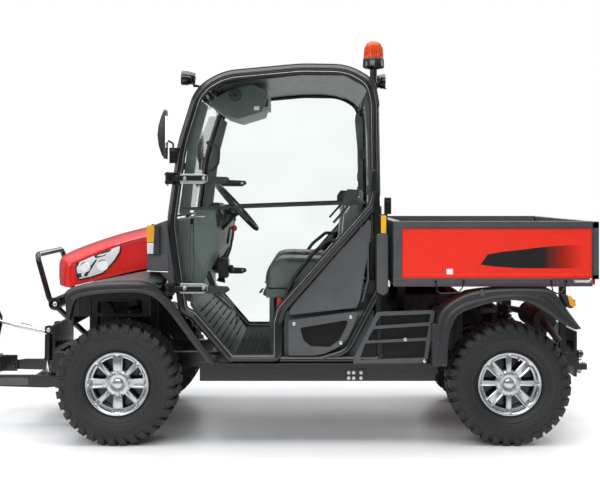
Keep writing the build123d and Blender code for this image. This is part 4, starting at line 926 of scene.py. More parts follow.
def make_door(sign, name):
    body = f"door_{name}"
    y = sign * DOOR_FACE
    kit = Kit()
    kit.tube([(x, y - sign * 6, z) for x, z in loop_at(-6)], 11.5, 14, closed=True)
    kit.make(f"door_tube_{name}", "frame_black", body, smooth=60)
    kit.ring(loop_at(6), loop_at(-24), side(sign, DOOR_IN, DOOR_FACE))
    for z in HINGE_ZS:
        kit.box((270, 473), side(sign, DOOR_FACE, DOOR_FACE + 10), (z - 14, z + 14))
        kit.turned([(-14, 8), (-14, 12), (14, 12), (14, 8)], (HINGE[0], sign * HINGE[1], z), (0, 0, 1),
                   28, caps=False)
    band = kit.make(f"door_band_{name}", "frame_black", body, bevel=2.5, segments=3)
    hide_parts(f"door_{name}")
    kit.prism(loop_at(-25.5), side(sign, DOOR_IN + 5, DOOR_IN + 10))
    pane = kit.make(f"door_pane_{name}", "glass_green", body, bevel=0.8)
    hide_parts(f"door_glass_{name}")
    # thin pale zinc band just inside the door's tube: a painted highlight, a line that stands in for the
    # glint along the tube
    kit.ring(loop_at(-21), loop_at(-23.4), side(sign, DOOR_FACE - 4, DOOR_FACE + 1.2))
    kit.make(f"door_highlight_strip_{name}", "zinc", body, bevel=0.6)
    kit.ring(loop_at(-24), loop_at(-33), side(sign, DOOR_FACE - 15, DOOR_FACE - 2))
    kit.ring(loop_at(5.8), loop_at(1.5), side(sign, DOOR_FACE - 15.5, DOOR_FACE - 9))
    kit.make(f"door_gasket_{name}", "rubber_black", body, bevel=1.2)
    # hinge straps with their clamps and bolts
    straps, clamps, bolts = Kit(), Kit(), Kit()
    for z in STRAP_ZS:
        strap = outline([(330, z + 25), (452, z + 24), (478, z + 12), (478, z - 14), (452, z - 27),
                         (330, z - 27)], 12, 4)
        straps.prism(strap, side(sign, DOOR_FACE + 3, DOOR_FACE + 8.5))
        clamps.box((324, 334), side(sign, DOOR_FACE - 4, DOOR_FACE + 9), (z - 33, z + 30))
        clamps.prism(outline([(330, z + 20), (580, z + 8), (592, z - 12), (560, z - 30), (330, z - 26)], 8,
                             3), side(sign, DOOR_FACE - 17, DOOR_FACE - 13))
        for x in (357, 455):
            bolts.turned([(0, 11), (4, 10.5), (7.5, 7), (8, 0)], (x, sign * (DOOR_FACE + 8.5), z),
                         (0, sign, 0), 24)
        for x in (400, 560):
            bolts.turned([(0, 9), (3, 8.5), (5, 0)], (x, sign * (DOOR_FACE - 17), z - 8), (0, -sign, 0), 20)
        bolts.bar((HINGE[0], sign * HINGE[1], z - 38), (HINGE[0], sign * HINGE[1], z + 38), 5, 14)
    straps.make(f"hinge_straps_{name}", "steel", body, bevel=2)
    clamps.make(f"hinge_clamps_{name}", "frame_black", body, bevel=2)
    bolts.make(f"hinge_bolts_{name}", "zinc", body, smooth=40)
    # inside: pull bar, latch and lever
    kit.pipe([(330, sign * 712, 1229), (372, sign * 696, 1231), (1225, sign * 696, 1262),
              (1290, sign * 712, 1264)], 30, 4, 8.5, 12)
    kit.prism(outline([(1176, 1251), (1215, 1244), (1250, 1262), (1262, 1330), (1200, 1334), (1176, 1300)],
                      10, 3), side(sign, DOOR_FACE - 33, DOOR_FACE - 18))
    kit.pipe([(1232, sign * 694, 1303), (1218, sign * 684, 1262), (1127, sign * 680, 1158)], 30, 4, 7, 10)
    kit.make(f"door_latch_{name}", "trim_black", body, bevel=2)
    kit.pipe([(1262, sign * 700, 1296), (1230, sign * 690, 1276), (1190, sign * 684, 1210)], 20, 4, 4, 10)
    kit.make(f"door_lever_{name}", "zinc", body, smooth=60)
    # outside handle: recessed paddle on the band of the rear edge
    kit.box((1322, 1354), side(sign, DOOR_FACE - 2, DOOR_FACE + 8), (1316, 1432))
    kit.make(f"door_paddle_{name}", "frame_black", body, bevel=4, segments=3)


make_cab()
for sign, name in SIDES:
    make_door(sign, name)

# drip rail over the door, and the seats of the hinges on the pillars
for sign, name in SIDES:
    kit = Kit()
    top = [p for p in loop_at(19) if p[1] > 1500]
    kit.tube([(x, sign * 690, z) for x, z in top], 3.2, 8)
    kit.make(f"drip_rail_{name}", "trim_black", smooth=60)
    for z in STRAP_ZS:
        kit.box((256, 300), side(sign, 694, 708), (z - 26, z + 26))
        kit.bolt((290, sign * 708, z + 14), (0, sign, 0), 5, 3, False)
        kit.bolt((290, sign * 708, z - 14), (0, sign, 0), 5, 3, False)
    kit.make(f"hinge_seats_{name}", "frame_black", bevel=2)

# glass edge seals, front and back
for sign in BOTH:
    kit.pipe([(283, sign * 648, 1190), (333, sign * 648, 1560), (420, sign * 648, 1830)], 60, 5, 6, 8)
    kit.pipe([(1366, sign * 648, 1250), (1349, sign * 648, 1785), (1340, sign * 648, 1836)], 60, 5, 6, 8)
for x, z in ((284, 1190), (418, 1828), (1366, 1250), (1341, 1834)):
    kit.bar((x, -650, z), (x, 650, z), 6, 10)
kit.make("glass_seals", "rubber_black", smooth=60)
kit.pipe([(300, 60, 1182), (274, 40, 1196), (272, 20, 1230), (316, -280, 1500)], 20, 4, 5, 10)
kit.bar((290, 60, 1180), (270, 60, 1184), 11, 16)
kit.tube([(300, -60, 1395), (331, -440, 1600)], 4, 8)
kit.make("wiper", "trim_black", bevel=1)

# ================================================================ side panels
QUARTER = [(893, 678), (1249, 717), (1265, 759), (1322, 1090), (1322, 1190), (905, 718)]
BEHIND = [(1352, 1100), (1411, 1105), (1413, 800), (1385, 780), (1352, 800)]
MESH_ONE = [(893, 650), (1236, 696), (1256, 686), (1236, 633), (1200, 556), (1150, 510), (1083, 478),
            (1030, 468), (893, 468)]
MESH_ONE_WINDOW = [(953, 612), (1205, 654), (1187, 602), (1155, 546), (1109, 512), (1010, 516), (972, 545)]
MESH_TWO = [(1353, 695), (1655, 705), (1618, 456), (1590, 430), (1226, 424), (1240, 470), (1317, 622)]
MESH_TWO_HIGH = [(1370, 675), (1632, 685), (1625, 642), (1340, 622)]
MESH_TWO_MID = [(1335, 606), (1622, 624), (1612, 562), (1300, 546)]
MESH_TWO_LOW = [(1292, 532), (1609, 546), (1600, 458), (1262, 446)]
SKIN = 695                       # outer face of the side panels


def make_panels(sign, name):
    kit = Kit()
    kit.prism(outline(QUARTER, 14, 4), side(sign, 660, SKIN - 1))
    kit.pipe([(1306, sign * (SKIN - 1), 1080), (1308, sign * (SKIN - 1), 862),
              (1278, sign * (SKIN - 1), 748)], 60, 5, 4.5, 10)
    panel = kit.make(f"quarter_skin_{name}", "panel_grey", bevel=5, segments=3)
    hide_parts("quarter_panels")
    kit.prism(outline(BEHIND, 10, 4), side(sign, 684, SKIN + 8))
    kit.make(f"pillar_cover_{name}", "panel_grey", bevel=4, segments=3)
    # perforated panels
    frames, combs, backs, bolts = Kit(), Kit(), Kit(), Kit()
    frames.holed(outline(MESH_ONE, 12, 4), [outline(MESH_ONE_WINDOW, 12, 4)], side(sign, SKIN - 14, SKIN))
    frames.holed(outline(MESH_TWO, 14, 4),
                 [outline(w, 8, 3) for w in (MESH_TWO_HIGH, MESH_TWO_MID, MESH_TWO_LOW)],
                 side(sign, SKIN - 8, SKIN + 7))
    for window, y in ((MESH_ONE_WINDOW, SKIN - 6), (MESH_TWO_HIGH, SKIN), (MESH_TWO_MID, SKIN),
                      (MESH_TWO_LOW, SKIN)):
        combs.honeycomb(grown(window, 4), sign * y, 11.5, 1.7, sign)
    backs.prism(outline(grown(MESH_ONE, -6), 12, 3), side(sign, 662, SKIN - 16))
    backs.prism(outline(grown(MESH_TWO, -6), 12, 3), side(sign, 672, SKIN - 12))
    for x, z, y in ((922, 633, SKIN), (1218, 668, SKIN), (1166, 534, SKIN), (1500, 553, SKIN + 7),
                    (1600, 440, SKIN + 7)):
        bolts.turned([(0, 10), (1.5, 10), (4, 8.5), (5.5, 4), (5.7, 0)], (x, sign * y, z), (0, sign, 0), 20)
    frame_piece = frames.make(f"mesh_frames_{name}", "panel_grey", bevel=3, segments=3)
    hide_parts("mesh_panels")
    combs.make(f"mesh_{name}", "frame_black", smooth=20)
    backs.make(f"mesh_backs_{name}", "rubber_black", bevel=2)
    bolts.make(f"panel_bolts_{name}", "zinc", smooth=40)
    # reflector and its bracket behind the pillar
    kit.box((1374, 1402), side(sign, 690, 699), (1104, 1196))
    kit.make(f"side_reflector_{name}", "reflector", bevel=3, segments=3)
    kit.box((1366, 1410), side(sign, 676, 691), (1098, 1204))
    kit.box((1394, 1428), side(sign, 640, 694), (1203, 1290))
    kit.turned([(0, 8), (6, 8), (7, 0)], (1411, sign * 694, 1268), (0, sign, 0), 20)
    kit.make(f"pillar_bracket_{name}", "frame_black", bevel=3)
    # sill: step plate, its edge roll and the bracket bolts
    kit.prism(outline([(584, 428), (1640, 428), (1640, 404), (1196, 402), (1180, 392), (640, 392)], 8, 3),
              side(sign, 688, 706))
    kit.box((1190, 1292), side(sign, 660, 704), (338, 400))
    kit.make(f"sill_rail_{name}", "frame_black", bevel=4, segments=3)
    for x in (1206, 1232, 1270):
        for z in (352, 380):
            kit.bolt((x, sign * 704, z), (0, sign, 0), 6, 4)
    kit.make(f"sill_bolts_{name}", "zinc", smooth=30)


for sign, name in SIDES:
    make_panels(sign, name)

# ================================================================ mirrors, lamps, beacon
MIRROR = [(282.5, 1484.5), (282.5, 1730.5), (277, 1731), (262, 1698), (248, 1650), (243, 1600), (249, 1550),
          (264, 1504), (276, 1484.5)]
MIRROR_MID = (270, 1608)


def make_mirror(sign, name):
    kit = Kit()
    rows = []
    cx, cz = MIRROR_MID
    for y, share in ((806, 0.8), (812, 0.93), (822, 1.0), (912, 1.0), (924, 0.93), (930, 0.8)):
        rows.append([(cx + (x - cx) * share, sign * y, cz + (z - cz) * share) for x,
                     z in outline(MIRROR, 8, 3)])
    kit.stack(rows)
    shell = kit.make(f"mirror_shell_{name}", "trim_black", smooth=50)
    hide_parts("mirrors")
    kit.pipe([(270, sign * 815, 1590), (262, sign * 780, 1588), (300, sign * 745, 1570),
              (296, sign * 716, 1530), (300, sign * 700, 1512)], 22, 5, 5.5, 12)
    kit.box((276, 322), side(sign, 690, 716), (1468, 1548))
    kit.box((284, 312), side(sign, 700, 722), (1484, 1534))
    kit.turned([(-9, 9), (9, 9)], (268, sign * 806, 1590), (0, 1, 0), 16)
    kit.make(f"mirror_arm_{name}", "frame_black", bevel=2)
    kit.box((279.5, 283.4), side(sign, 818, 918), (1512, 1700))
    kit.make(f"mirror_glass_{name}", "mirror", bevel=1)


for sign, name in SIDES:
    make_mirror(sign, name)


def round_lamp(kit, glass, bowl, centre, facing, r, depth):
    """Work lamp: ribbed housing, bezel, bowl and lens, facing along a vector."""
    kit.turned([(-depth, r * 0.4), (-depth, r * 0.68), (-depth * 0.84, r * 0.84), (-depth * 0.8, r * 0.74),
                (-depth * 0.64, r * 0.92), (-depth * 0.6, r * 0.82), (-depth * 0.42, r * 0.98), (0, r),
                (5, r), (6, r * 0.92), (2, r * 0.88)], centre, facing, 40, caps=False)
    bowl.turned([(2, r * 0.88), (-depth * 0.3, r * 0.55), (-depth * 0.4, 0)], centre, facing, 32)
    glass.turned([(2, r * 0.88), (4.5, r * 0.6), (5, 0)], centre, facing, 32)


housing, lenses, bowls = Kit(), Kit(), Kit()
for sign, name in SIDES:
    round_lamp(housing, lenses, bowls, (327, sign * 560, 1927), (-1, 0, 0.06), 38.5, 70)
    housing.pipe([(352, sign * 598, 1927), (372, sign * 604, 1927), (384, sign * 600, 1888),
                  (420, sign * 572, 1880)], 14, 4, 4.5, 10)
    housing.box((384, 436), side(sign, 548, 572), (1878, 1886))
    round_lamp(housing, lenses, bowls, (1406, sign * 470, 1917), (1, 0, 0), 40, 48)
    housing.pipe([(1380, sign * 512, 1917), (1372, sign * 516, 1900), (1368, sign * 500, 1880),
                  (1345, sign * 470, 1872)], 10, 3, 5, 10)
    housing.box((1404, 1418), side(sign, 462, 478), (1876, 1881))
piece = housing.make("work_lamp_housings", "frame_black", smooth=35)
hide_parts("work_lamps")
bowls.make("work_lamp_bowls", "mirror", smooth=60)
lenses.make("work_lamp_lenses", "lamp_clear", smooth=60)

BEACON = (1341, -600)
kit.turned([(0, 53), (0, 54), (10, 54.5), (14, 51), (62, 47), (80, 40), (91, 24), (95, 8), (95.5, 0)],
           (*BEACON, 2021), (0, 0, 1), 48)
for k in range(24):
    t = 2 * pi * k / 24
    kit.bar((BEACON[0] + 50.5 * cos(t), BEACON[1] + 50.5 * sin(t), 2034),
            (BEACON[0] + 46.5 * cos(t), BEACON[1] + 46.5 * sin(t), 2082), 2.2, 6)
dome = kit.make("beacon_dome", "beacon_orange", smooth=50)
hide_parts("beacon")
kit.turned([(0, 19.5), (78, 19.5), (80, 30), (84, 52), (90, 57.5), (128, 57.5), (133, 55), (133, 0)],
           (*BEACON, 1889), (0, 0, 1), 48)
kit.box((BEACON[0] - 23, BEACON[0] + 23), (BEACON[1] - 29, BEACON[1] + 29), (1890, 1896))
kit.turned([(0, 24), (40, 22), (44, 0)], (*BEACON, 2021), (0, 0, 1), 24)
kit.make("beacon_base", "frame_black", smooth=35, bevel=1)

# indicators with their dark housings beside the cowl
for sign, name in SIDES:
    kit = Kit()
    kit.prism(outline([(196, 1152), (222, 1144), (222, 994), (188, 996)], 8, 3), side(sign, 655, 689))
    kit.box((178, 192), side(sign, 666, 684), (1139, 1151))
    holder = kit.make(f"indicator_housing_{name}", "trim_black", bevel=3)
    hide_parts("signal_lamps")
    kit.box((155, 194), side(sign, 657, 687), (1056, 1144))
    for k in range(9):
        kit.box((154, 193), side(sign, 660, 686.5), (1061 + 9 * k, 1063 + 9 * k))
    kit.make(f"indicator_amber_{name}", "lamp_amber", bevel=5, segments=3)
    kit.box((156, 194), side(sign, 657, 687), (996, 1053))
    kit.make(f"indicator_white_{name}", "white_lamp", bevel=4, segments=3)
    # side panel of the cowl and the pale line under it
    kit.prism(outline([(158, 992), (262, 996), (268, 908), (164, 906)], 10, 3), side(sign, 640, 660))
    kit.make(f"cowl_side_{name}", "panel_grey", bevel=5, segments=3)
    kit.tube([(152, sign * 655, 904), (262, sign * 658, 900)], 3.5, 10)
    kit.make(f"cowl_line_{name}", "zinc", smooth=60)

# ================================================================ cargo box
BOX_Y = 745
BED = (1443, WB + 415)           # front and rear of the box
BED_LOW, BED_FLOOR = 834, 860
RAIL = (1132, 1167)              # foot and top of the rail round the box
PANEL = ((1482, 2456), (876, 1130))


def rectangle(x, z):
    """Closed (x, z) outline between limits."""
    return [(x[0], z[0]), (x[1], z[0]), (x[1], z[1]), (x[0], z[1])]


def fading_red(name, dark, red, start, end):
    """Dark print that breaks up into the red paint towards the rear; start and end in mm."""
    mat, tree, shader = node_tree(name)
    where = coords(tree)
    apart = tree.nodes.new("ShaderNodeSeparateXYZ")
    tree.links.new(where, apart.inputs[0])
    ahead = spread(tree, apart.outputs["X"], 0, 1, (start + FA) / 1000, (end + FA) / 1000)
    speck = noise(tree, coords(tree, (14, 14, 60)), 5, 6, 0.7)
    total = tree.nodes.new("ShaderNodeMath")
    total.operation = "MULTIPLY_ADD"
    tree.links.new(speck, total.inputs[0])
    total.inputs[1].default_value = 0.3
    tree.links.new(ahead, total.inputs[2])
    tree.links.new(ramp(tree, total.outputs[0], [(0.22, dark), (0.5, shade(red, 0.35)), (0.86, red)]),
                   shader.inputs["Base Color"])
    tree.links.new(spread(tree, noise(tree, where, 40, 3), 0.28, 0.38), shader.inputs["Roughness"])
    bump(tree, shader, noise(tree, where, 300, 2), 0.05, 0.0003)
    return mat


M["side_print"] = fading_red("side_print", (0.012, 0.011, 0.011), (0.86, 0.030, 0.010), 2190, 2520)

for sign, name in SIDES:
    kit = Kit()
    kit.prism(outline(rectangle(*PANEL), 8, 4), side(sign, BOX_Y - 2, BOX_Y + 2))
    # shallow pressed frame round the panel
    kit.ring(outline(rectangle((1490, 2448), (884, 1122)), 18, 4),
             outline(rectangle((1500, 2438), (894, 1112)), 14, 4), side(sign, BOX_Y + 1, BOX_Y + 3.2))
    kit.make(f"box_panel_{name}", "box_red", "cargo_bed", bevel=1.6, segments=3)
    kit.box((BED[0] - 8, BED[1]), side(sign, BOX_Y - 36, BOX_Y + 7), RAIL)
    kit.box((BED[0] - 7, 1480), side(sign, BOX_Y - 3.4, BOX_Y + 5.4), (BED_LOW, RAIL[0] + 2))
    kit.box((2458, BED[1] + 0.4), side(sign, BOX_Y - 3.4, BOX_Y + 5.4), (BED_LOW, RAIL[0] + 2))
    kit.box((BED[0] - 8, BED[1] + 1), side(sign, BOX_Y - 4, BOX_Y + 6), (BED_LOW - 2, 872))
    kit.box((1500, 2440), side(sign, BOX_Y + 3, BOX_Y + 9), (1140, 1146))
    kit.box((1500, 2440), side(sign, BOX_Y + 2, BOX_Y + 8.5), (846, 852))
    kit.make(f"box_rails_{name}", "bed_grey", "cargo_bed", bevel=3, segments=3)
    stripe = [(1884, 944), (1920, 996), (2000, 1011), (2090, 1020), (2200, 1034), (2300, 1042), (2437, 1050),
              (2437, 926), (2294, 925), (2080, 926), (1960, 934)]
    kit.prism(stripe, side(sign, BOX_Y + 1.5, BOX_Y + 2.5))
    kit.make(f"box_stripe_{name}", "side_print", "cargo_bed", smooth=30)
    kit.prism(outline(rectangle((1708, 1742), (884, 922)), 3, 3), side(sign, BOX_Y + 1.8, BOX_Y + 2.8))
    kit.make(f"box_label_{name}", "label_white", "cargo_bed", bevel=0.4)
    # tie hooks under the rail and the gate's latch
    for x0, x1 in ((1652, 1796), (2246, 2322)):
        kit.pipe([(x0, sign * (BOX_Y + 8), 858), (x0 + 8, sign * (BOX_Y + 13), 806),
                  (x0 + 30, sign * (BOX_Y + 13), 796), (x1 - 26, sign * (BOX_Y + 13), 800),
                  (x1 - 6, sign * (BOX_Y + 11), 828), (x1, sign * (BOX_Y + 8), 858)], 12, 4, 3.6, 10)
        for x in (x0, x1):
            kit.turned([(-7, 6.5), (7, 6.5)], (x, sign * (BOX_Y + 8), 858), (0, 1, 0), 14)
    kit.make(f"box_hooks_{name}", "frame_black", "cargo_bed", smooth=50)
    kit.box((2362, 2458), side(sign, BOX_Y + 6, BOX_Y + 11), (850, 866))
    kit.pipe([(2372, sign * (BOX_Y + 14), 858), (2440, sign * (BOX_Y + 16), 858),
              (2452, sign * (BOX_Y + 12), 872)], 8, 4, 4.5, 12)
    kit.bolt((2370, sign * (BOX_Y + 11), 858), (0, sign, 0), 6, 4)
    kit.make(f"box_latch_{name}", "zinc", "cargo_bed", bevel=1.2)

kit.box((BED[0] - 8, 1480), (-BOX_Y - 6, BOX_Y + 6), RAIL)
kit.box((BED[0] - 7, BED[0] + 1), (-BOX_Y + 2, BOX_Y - 2), (BED_LOW, RAIL[0] + 2))
for k in range(-4, 5):
    kit.box((BED[0] - 11, BED[0] - 5), (k * 150 - 14, k * 150 + 14), (880, 1110))
kit.make("headboard", "bed_grey", "cargo_bed", bevel=3, segments=3)
kit.box((BED[0] + 29, BED[1] - 2), (-BOX_Y + 29, BOX_Y - 29), (BED_FLOOR - 2, BED_FLOOR + 1.5))
for k in range(-11, 12):
    kit.box((BED[0] + 45, BED[1] - 14), (k * 58 - 12, k * 58 + 12), (BED_FLOOR, BED_FLOOR + 5))
for sign in BOTH:
    kit.box((BED[0] + 30, BED[1]), side(sign, BOX_Y - 31.5, BOX_Y - 29), (BED_FLOOR, RAIL[0]))
    for k in range(5):
        x = 1600 + 200 * k
        kit.box((x - 16, x + 16), side(sign, BOX_Y - 37, BOX_Y - 30), (BED_FLOOR, 1130))
kit.box((BED[0] + 29, BED[0] + 32), (-BOX_Y + 30, BOX_Y - 30), (BED_FLOOR, RAIL[0]))
kit.make("bed_liner", "bed_grey", "cargo_bed", bevel=2)

# tailgate: frame, pressed panels, handle and reflectors
GATE = (WB + 420, WB + 450)
for sign in BOTH:
    kit.box((GATE[0] - 1, GATE[1] + 2), side(sign, BOX_Y - 45, BOX_Y - 4), (868, 1165))
kit.box((GATE[0] - 1, GATE[1] + 2), (-BOX_Y + 4, BOX_Y - 4), (1130, 1166))
kit.box((GATE[0] - 1, GATE[1] + 2), (-BOX_Y + 4, BOX_Y - 4), (868, 892))
kit.box((GATE[1], GATE[1] + 8), (-70, 70), (1050, 1110))
kit.make("gate_frame", "bed_grey", "tailgate", bevel=3, segments=3)
for y0, y1 in ((-690, -250), (-225, 225), (250, 690)):
    kit.box((GATE[1] - 2, GATE[1] + 3), (y0, y1), (905, 1116))
kit.make("gate_panels", "box_red", "tailgate", bevel=6, segments=3)
kit.pipe([(GATE[1] + 6, -48, 1092), (GATE[1] + 26, -44, 1088), (GATE[1] + 26, 44, 1088),
          (GATE[1] + 6, 48, 1092)], 12, 4, 6, 12)
for sign in BOTH:
    kit.box((GATE[1], GATE[1] + 6), side(sign, 600, 640), (866, 884))
kit.make("gate_handle", "zinc", "tailgate", bevel=1)
for sign in BOTH:
    kit.box((GATE[1] + 2, GATE[1] + 6), side(sign, 640, 682), (1072, 1110))
kit.make("gate_reflectors", "reflector", "tailgate", bevel=2)

# ================================================================ rear fenders and tail lamps
FENDER_OUT = ((-416, 426), (-406, 520), (-395, 610), (-385, 690), (-352, 735), (-292, 774), (-228, 806),
              (-150, 818), (-68, 824), (20, 825), (110, 825), (185, 823), (216, 811), (250, 762),
              (285, 712), (353, 619))
FENDER_IN = ((-334, 426), (-330, 510), (-324, 587), (-306, 642), (-288, 678), (-262, 698), (-232, 712),
             (-170, 731), (-100, 753), (-20, 765), (50, 760), (108, 738), (160, 706), (203, 677),
             (246, 646), (315, 614))


FENDER_LIP = ((652, 0.0), (690, 0.0), (740, 0.0), (766, 0.015), (779, 0.07), (785, 0.17), (786, 0.3),
              (782, 0.42), (786, 0.56), (789.5, 0.68), (789.5, 0.84), (786, 0.95), (776, 1.0), (740, 0.99),
              (700, 0.97), (655, 0.95))


def make_fender(sign, name):
    rows = []
    for (ox, oz), (ix, iz) in zip(FENDER_OUT, FENDER_IN):
        rows.append([(WB + ox + (ix - ox) * f, sign * y, oz + (iz - oz) * f) for y, f in FENDER_LIP])
    fender = lofted(f"rear_fender_{name}", rows, "flare_grey", thickness=5, subdiv=2, offset=-1.0 * -sign)
    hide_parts("rear_fenders")
    # inner liner wall of the wheel arch and its front closing plate
    kit = Kit()
    liner = [(WB + x, z) for x, z in FENDER_OUT[3:14]] + [(WB + x, z) for x, z in reversed(FENDER_IN[3:14])]
    kit.prism(liner, side(sign, 651, 656))
    kit.box((WB - 412, WB - 336), side(sign, 652, 780), (428, 640))
    kit.make(f"fender_liner_{name}", "trim_black", bevel=2)
    for x, z in ((-262, 778), (-205, 796), (130, 800), (-380, 560), (-372, 470)):
        kit.turned([(0, 8), (2, 8), (4.5, 5), (5, 0)], (WB + x, sign * 786, z - 18), (0, sign, 0), 16)
    kit.make(f"fender_bolts_{name}", "trim_black", smooth=40)
    # grey patch on the arch and the tail lamp behind it
    kit.prism(outline([(1868, 800), (1886, 822), (1906, 806), (1890, 780)], 4, 3), side(sign, 770, 789.8))
    kit.make(f"fender_marker_{name}", "panel_grey", bevel=2)
    kit.prism(outline([(2292, 790), (2322, 790), (2360, 738), (2352, 722), (2334, 722)], 5, 3),
              side(sign, 706, 772))
    lamp_case = kit.make(f"tail_lamp_case_{name}", "trim_black", bevel=3)
    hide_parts("signal_lamps")
    kit.prism(outline([(2324, 789), (2346, 782), (2370, 742), (2361, 724), (2340, 735)], 6, 3),
              side(sign, 709, 776))
    kit.make(f"tail_lamp_{name}", "lamp_amber", bevel=3, segments=3)
    for k in range(6):
        y = 716 + 10 * k
        kit.box((2361, 2367), side(sign, y, y + 4), (736, 764))
    kit.make(f"tail_lamp_ribs_{name}", "red_knob", bevel=0.8)


for sign, name in SIDES:
    make_fender(sign, name)

# ================================================================ muffler, engine bay, hitch
MX, MZ = WB + 282, 594
BALL_X = WB + 532
kit.turned([(-211, 0), (-211, 50), (-207, 62), (-196, 69), (-192, 70), (-150, 70), (-148, 66), (-142, 66),
            (-140, 70), (0, 70), (2, 66), (8, 66), (10, 70), (140, 70), (142, 66), (148, 66), (150, 70),
            (192, 70), (196, 69), (207, 62), (211, 50), (211, 0)], (MX, 0, MZ), (0, 1, 0), 56)
can = kit.make("muffler_can", "cast_grey", smooth=30)
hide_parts("muffler")
for sign in BOTH:
    kit.box((MX - 9, MX + 9), side(sign, 197, 224), (352, MZ - 40))
    kit.turned([(-9, 72), (9, 72)], (MX, sign * 186, MZ), (0, 1, 0), 48, caps=False)
kit.pipe([(MX, -200, MZ - 10), (MX, -262, MZ - 14), (MX + 30, -300, MZ - 60), (MX + 62, -318, MZ - 104)],
         50, 8, 20, 20)
kit.pipe([(MX, 200, MZ), (MX - 10, 262, MZ), (MX - 120, 270, MZ + 20), (MX - 300, 200, MZ + 10)],
         60, 8, 19, 20)
kit.make("exhaust_pipes", "cast_grey", smooth=50)
# covers, pulleys, filter and hoses round the engine block
kit.turned([(0, 95), (14, 95), (18, 88), (18, 40), (26, 36), (26, 0)], (1500, -246, 560), (0, -1, 0), 40)
kit.turned([(0, 52), (22, 52), (26, 46), (26, 0)], (1720, -246, 640), (0, -1, 0), 32)
kit.turned([(0, 60), (16, 60), (20, 52), (20, 0)], (1660, -246, 500), (0, -1, 0), 32)
kit.box((1420, 1840), (-262, -246), (430, 452))
for k in range(9):
    kit.box((1430 + 46 * k, 1446 + 46 * k), (-253, -246), (455, 742))
kit.make("engine_covers", "cast_grey", bevel=4)
kit.bar((1560, -60, 790), (1780, -60, 790), 46, 28)
kit.pipe([(1560, -60, 790), (1520, -100, 800), (1480, -170, 780), (1460, -258, 700)], 40, 6, 24, 16)
kit.pipe([(1830, -256, 700), (1900, -280, 690), (1960, -240, 600)], 50, 6, 16, 14)
kit.make("air_hoses", "rubber_black", smooth=50)

for sign in BOTH:
    for z in (340, 400, 470, 515):
        kit.bolt((WB + 453, sign * 232, z), (1, 0, 0), 8, 6)
kit.bolt((BALL_X, 0, 286), (0, 0, -1), 17, 14)
kit.make("hitch_bolts", "zinc", smooth=30)
kit.turned([(0, 22), (6, 22), (9, 15), (30, 12.5), (38, 15)], (BALL_X, 0, 320), (0, 0, 1), 32)
kit.turned([(25 - 25 * cos(pi * k / 14), 25 * sin(pi * k / 14)) for k in range(15)], (BALL_X, 0, 350),
           (0, 0, 1), 36)
kit.make("tow_ball_polished", "chrome_rod", smooth=60)
for sign in BOTH:
    kit.turned([(-6, 15), (6, 15), (7, 12), (7, 8)], (WB + 470, sign * 44, 303), (0, 0, 1), 20, caps=False)
    kit.box((WB + 452, WB + 476), side(sign, 30, 62), (297, 309))
kit.make("chain_eyes", "frame_black", bevel=2)

# ================================================================ seats
SEAT_Y, SEAT_W = 330, 460
VOXEL = 0.006                    # metres
PRESSURE = 4
# height, inset and crown of the cushion's rings
CUSHION_RINGS = ((803, 12, 0), (806, 7, 0), (835, 6, 0), (905, 8, 0), (925, 14, 0), (938, 28, 1),
                 (944, 52, 1), (946, 90, 1))
# height, front, rear and inset of the backrest's rings
BACK_RINGS = ((808, 1170, 1270, 10), (830, 1171, 1274, 2), (900, 1172, 1276, 0), (960, 1174, 1274, 0),
              (1060, 1186, 1272, 3), (1180, 1199, 1284, 10), (1270, 1210, 1292, 22), (1310, 1220, 1294, 42),
              (1328, 1236, 1290, 78))


def applied(obj):
    """Bakes the modifiers into the mesh."""
    graph = bpy.context.evaluated_depsgraph_get()
    mesh = bpy.data.meshes.new_from_object(obj.evaluated_get(graph))
    obj.modifiers.clear()
    obj.data = mesh


def puffed(obj, cap, held, frames=20):
    """Fills a stitched cover with foam: held(point) tells what is fastened down, cap is in mm."""
    r = obj.modifiers.new("remesh", "REMESH")
    r.mode, r.voxel_size = "VOXEL", VOXEL
    applied(obj)
    start = [v.co.copy() for v in obj.data.vertices]
    group = obj.vertex_groups.new(name="held")
    group.add([i for i, co in enumerate(start) if held(co)], 1.0, "REPLACE")
    cloth = obj.modifiers.new("foam", "CLOTH")
    cloth.settings.vertex_group_mass = "held"
    cloth.settings.use_pressure = True
    cloth.settings.uniform_pressure_force = PRESSURE
    cloth.settings.effector_weights.gravity = 0
    cloth.settings.quality = 4
    cloth.point_cache.frame_start, cloth.point_cache.frame_end = 1, frames
    for f in range(1, frames + 1):
        bpy.context.scene.frame_set(f)
    applied(obj)
    bpy.context.scene.frame_set(1)
    for v, co in zip(obj.data.vertices, start):
        move = v.co - co
        if move.length > cap / 1000:
            v.co = co + move * (cap / 1000 / move.length)
    s = obj.modifiers.new("smooth", "SMOOTH")
    s.iterations = 3
    applied(obj)
    for poly in obj.data.polygons:
        poly.use_smooth = True


def cover(name, rings):
    """Closed cover over stacked rings of mm points."""
    kit = Kit()
    kit.stack(rings)
    return kit.make(name, "seat_vinyl", smooth=0)


def seam_on(obj, points, direction, r=2.2, closed=True):
    """Piping laid on a cover where rays along a direction meet it; points in mm."""
    tree = BVHTree.FromPolygons([v.co for v in obj.data.vertices], [p.vertices[:] for p in obj.data.polygons])
    laid = []
    for p in points:
        hit = tree.ray_cast(mm(*p), Vector(direction))[0]
        if hit:
            laid.append((hit.x * 1000 - FA, hit.y * 1000, hit.z * 1000))
    kit = Kit()
    kit.tube(laid, r, 8, closed=closed)
    return kit


def rounded_plan(x, y, radius, steps=6):
    return rounded([(x[0], y[0], 0), (x[1], y[0], 0), (x[1], y[1], 0), (x[0], y[1], 0)], radius, steps, True)


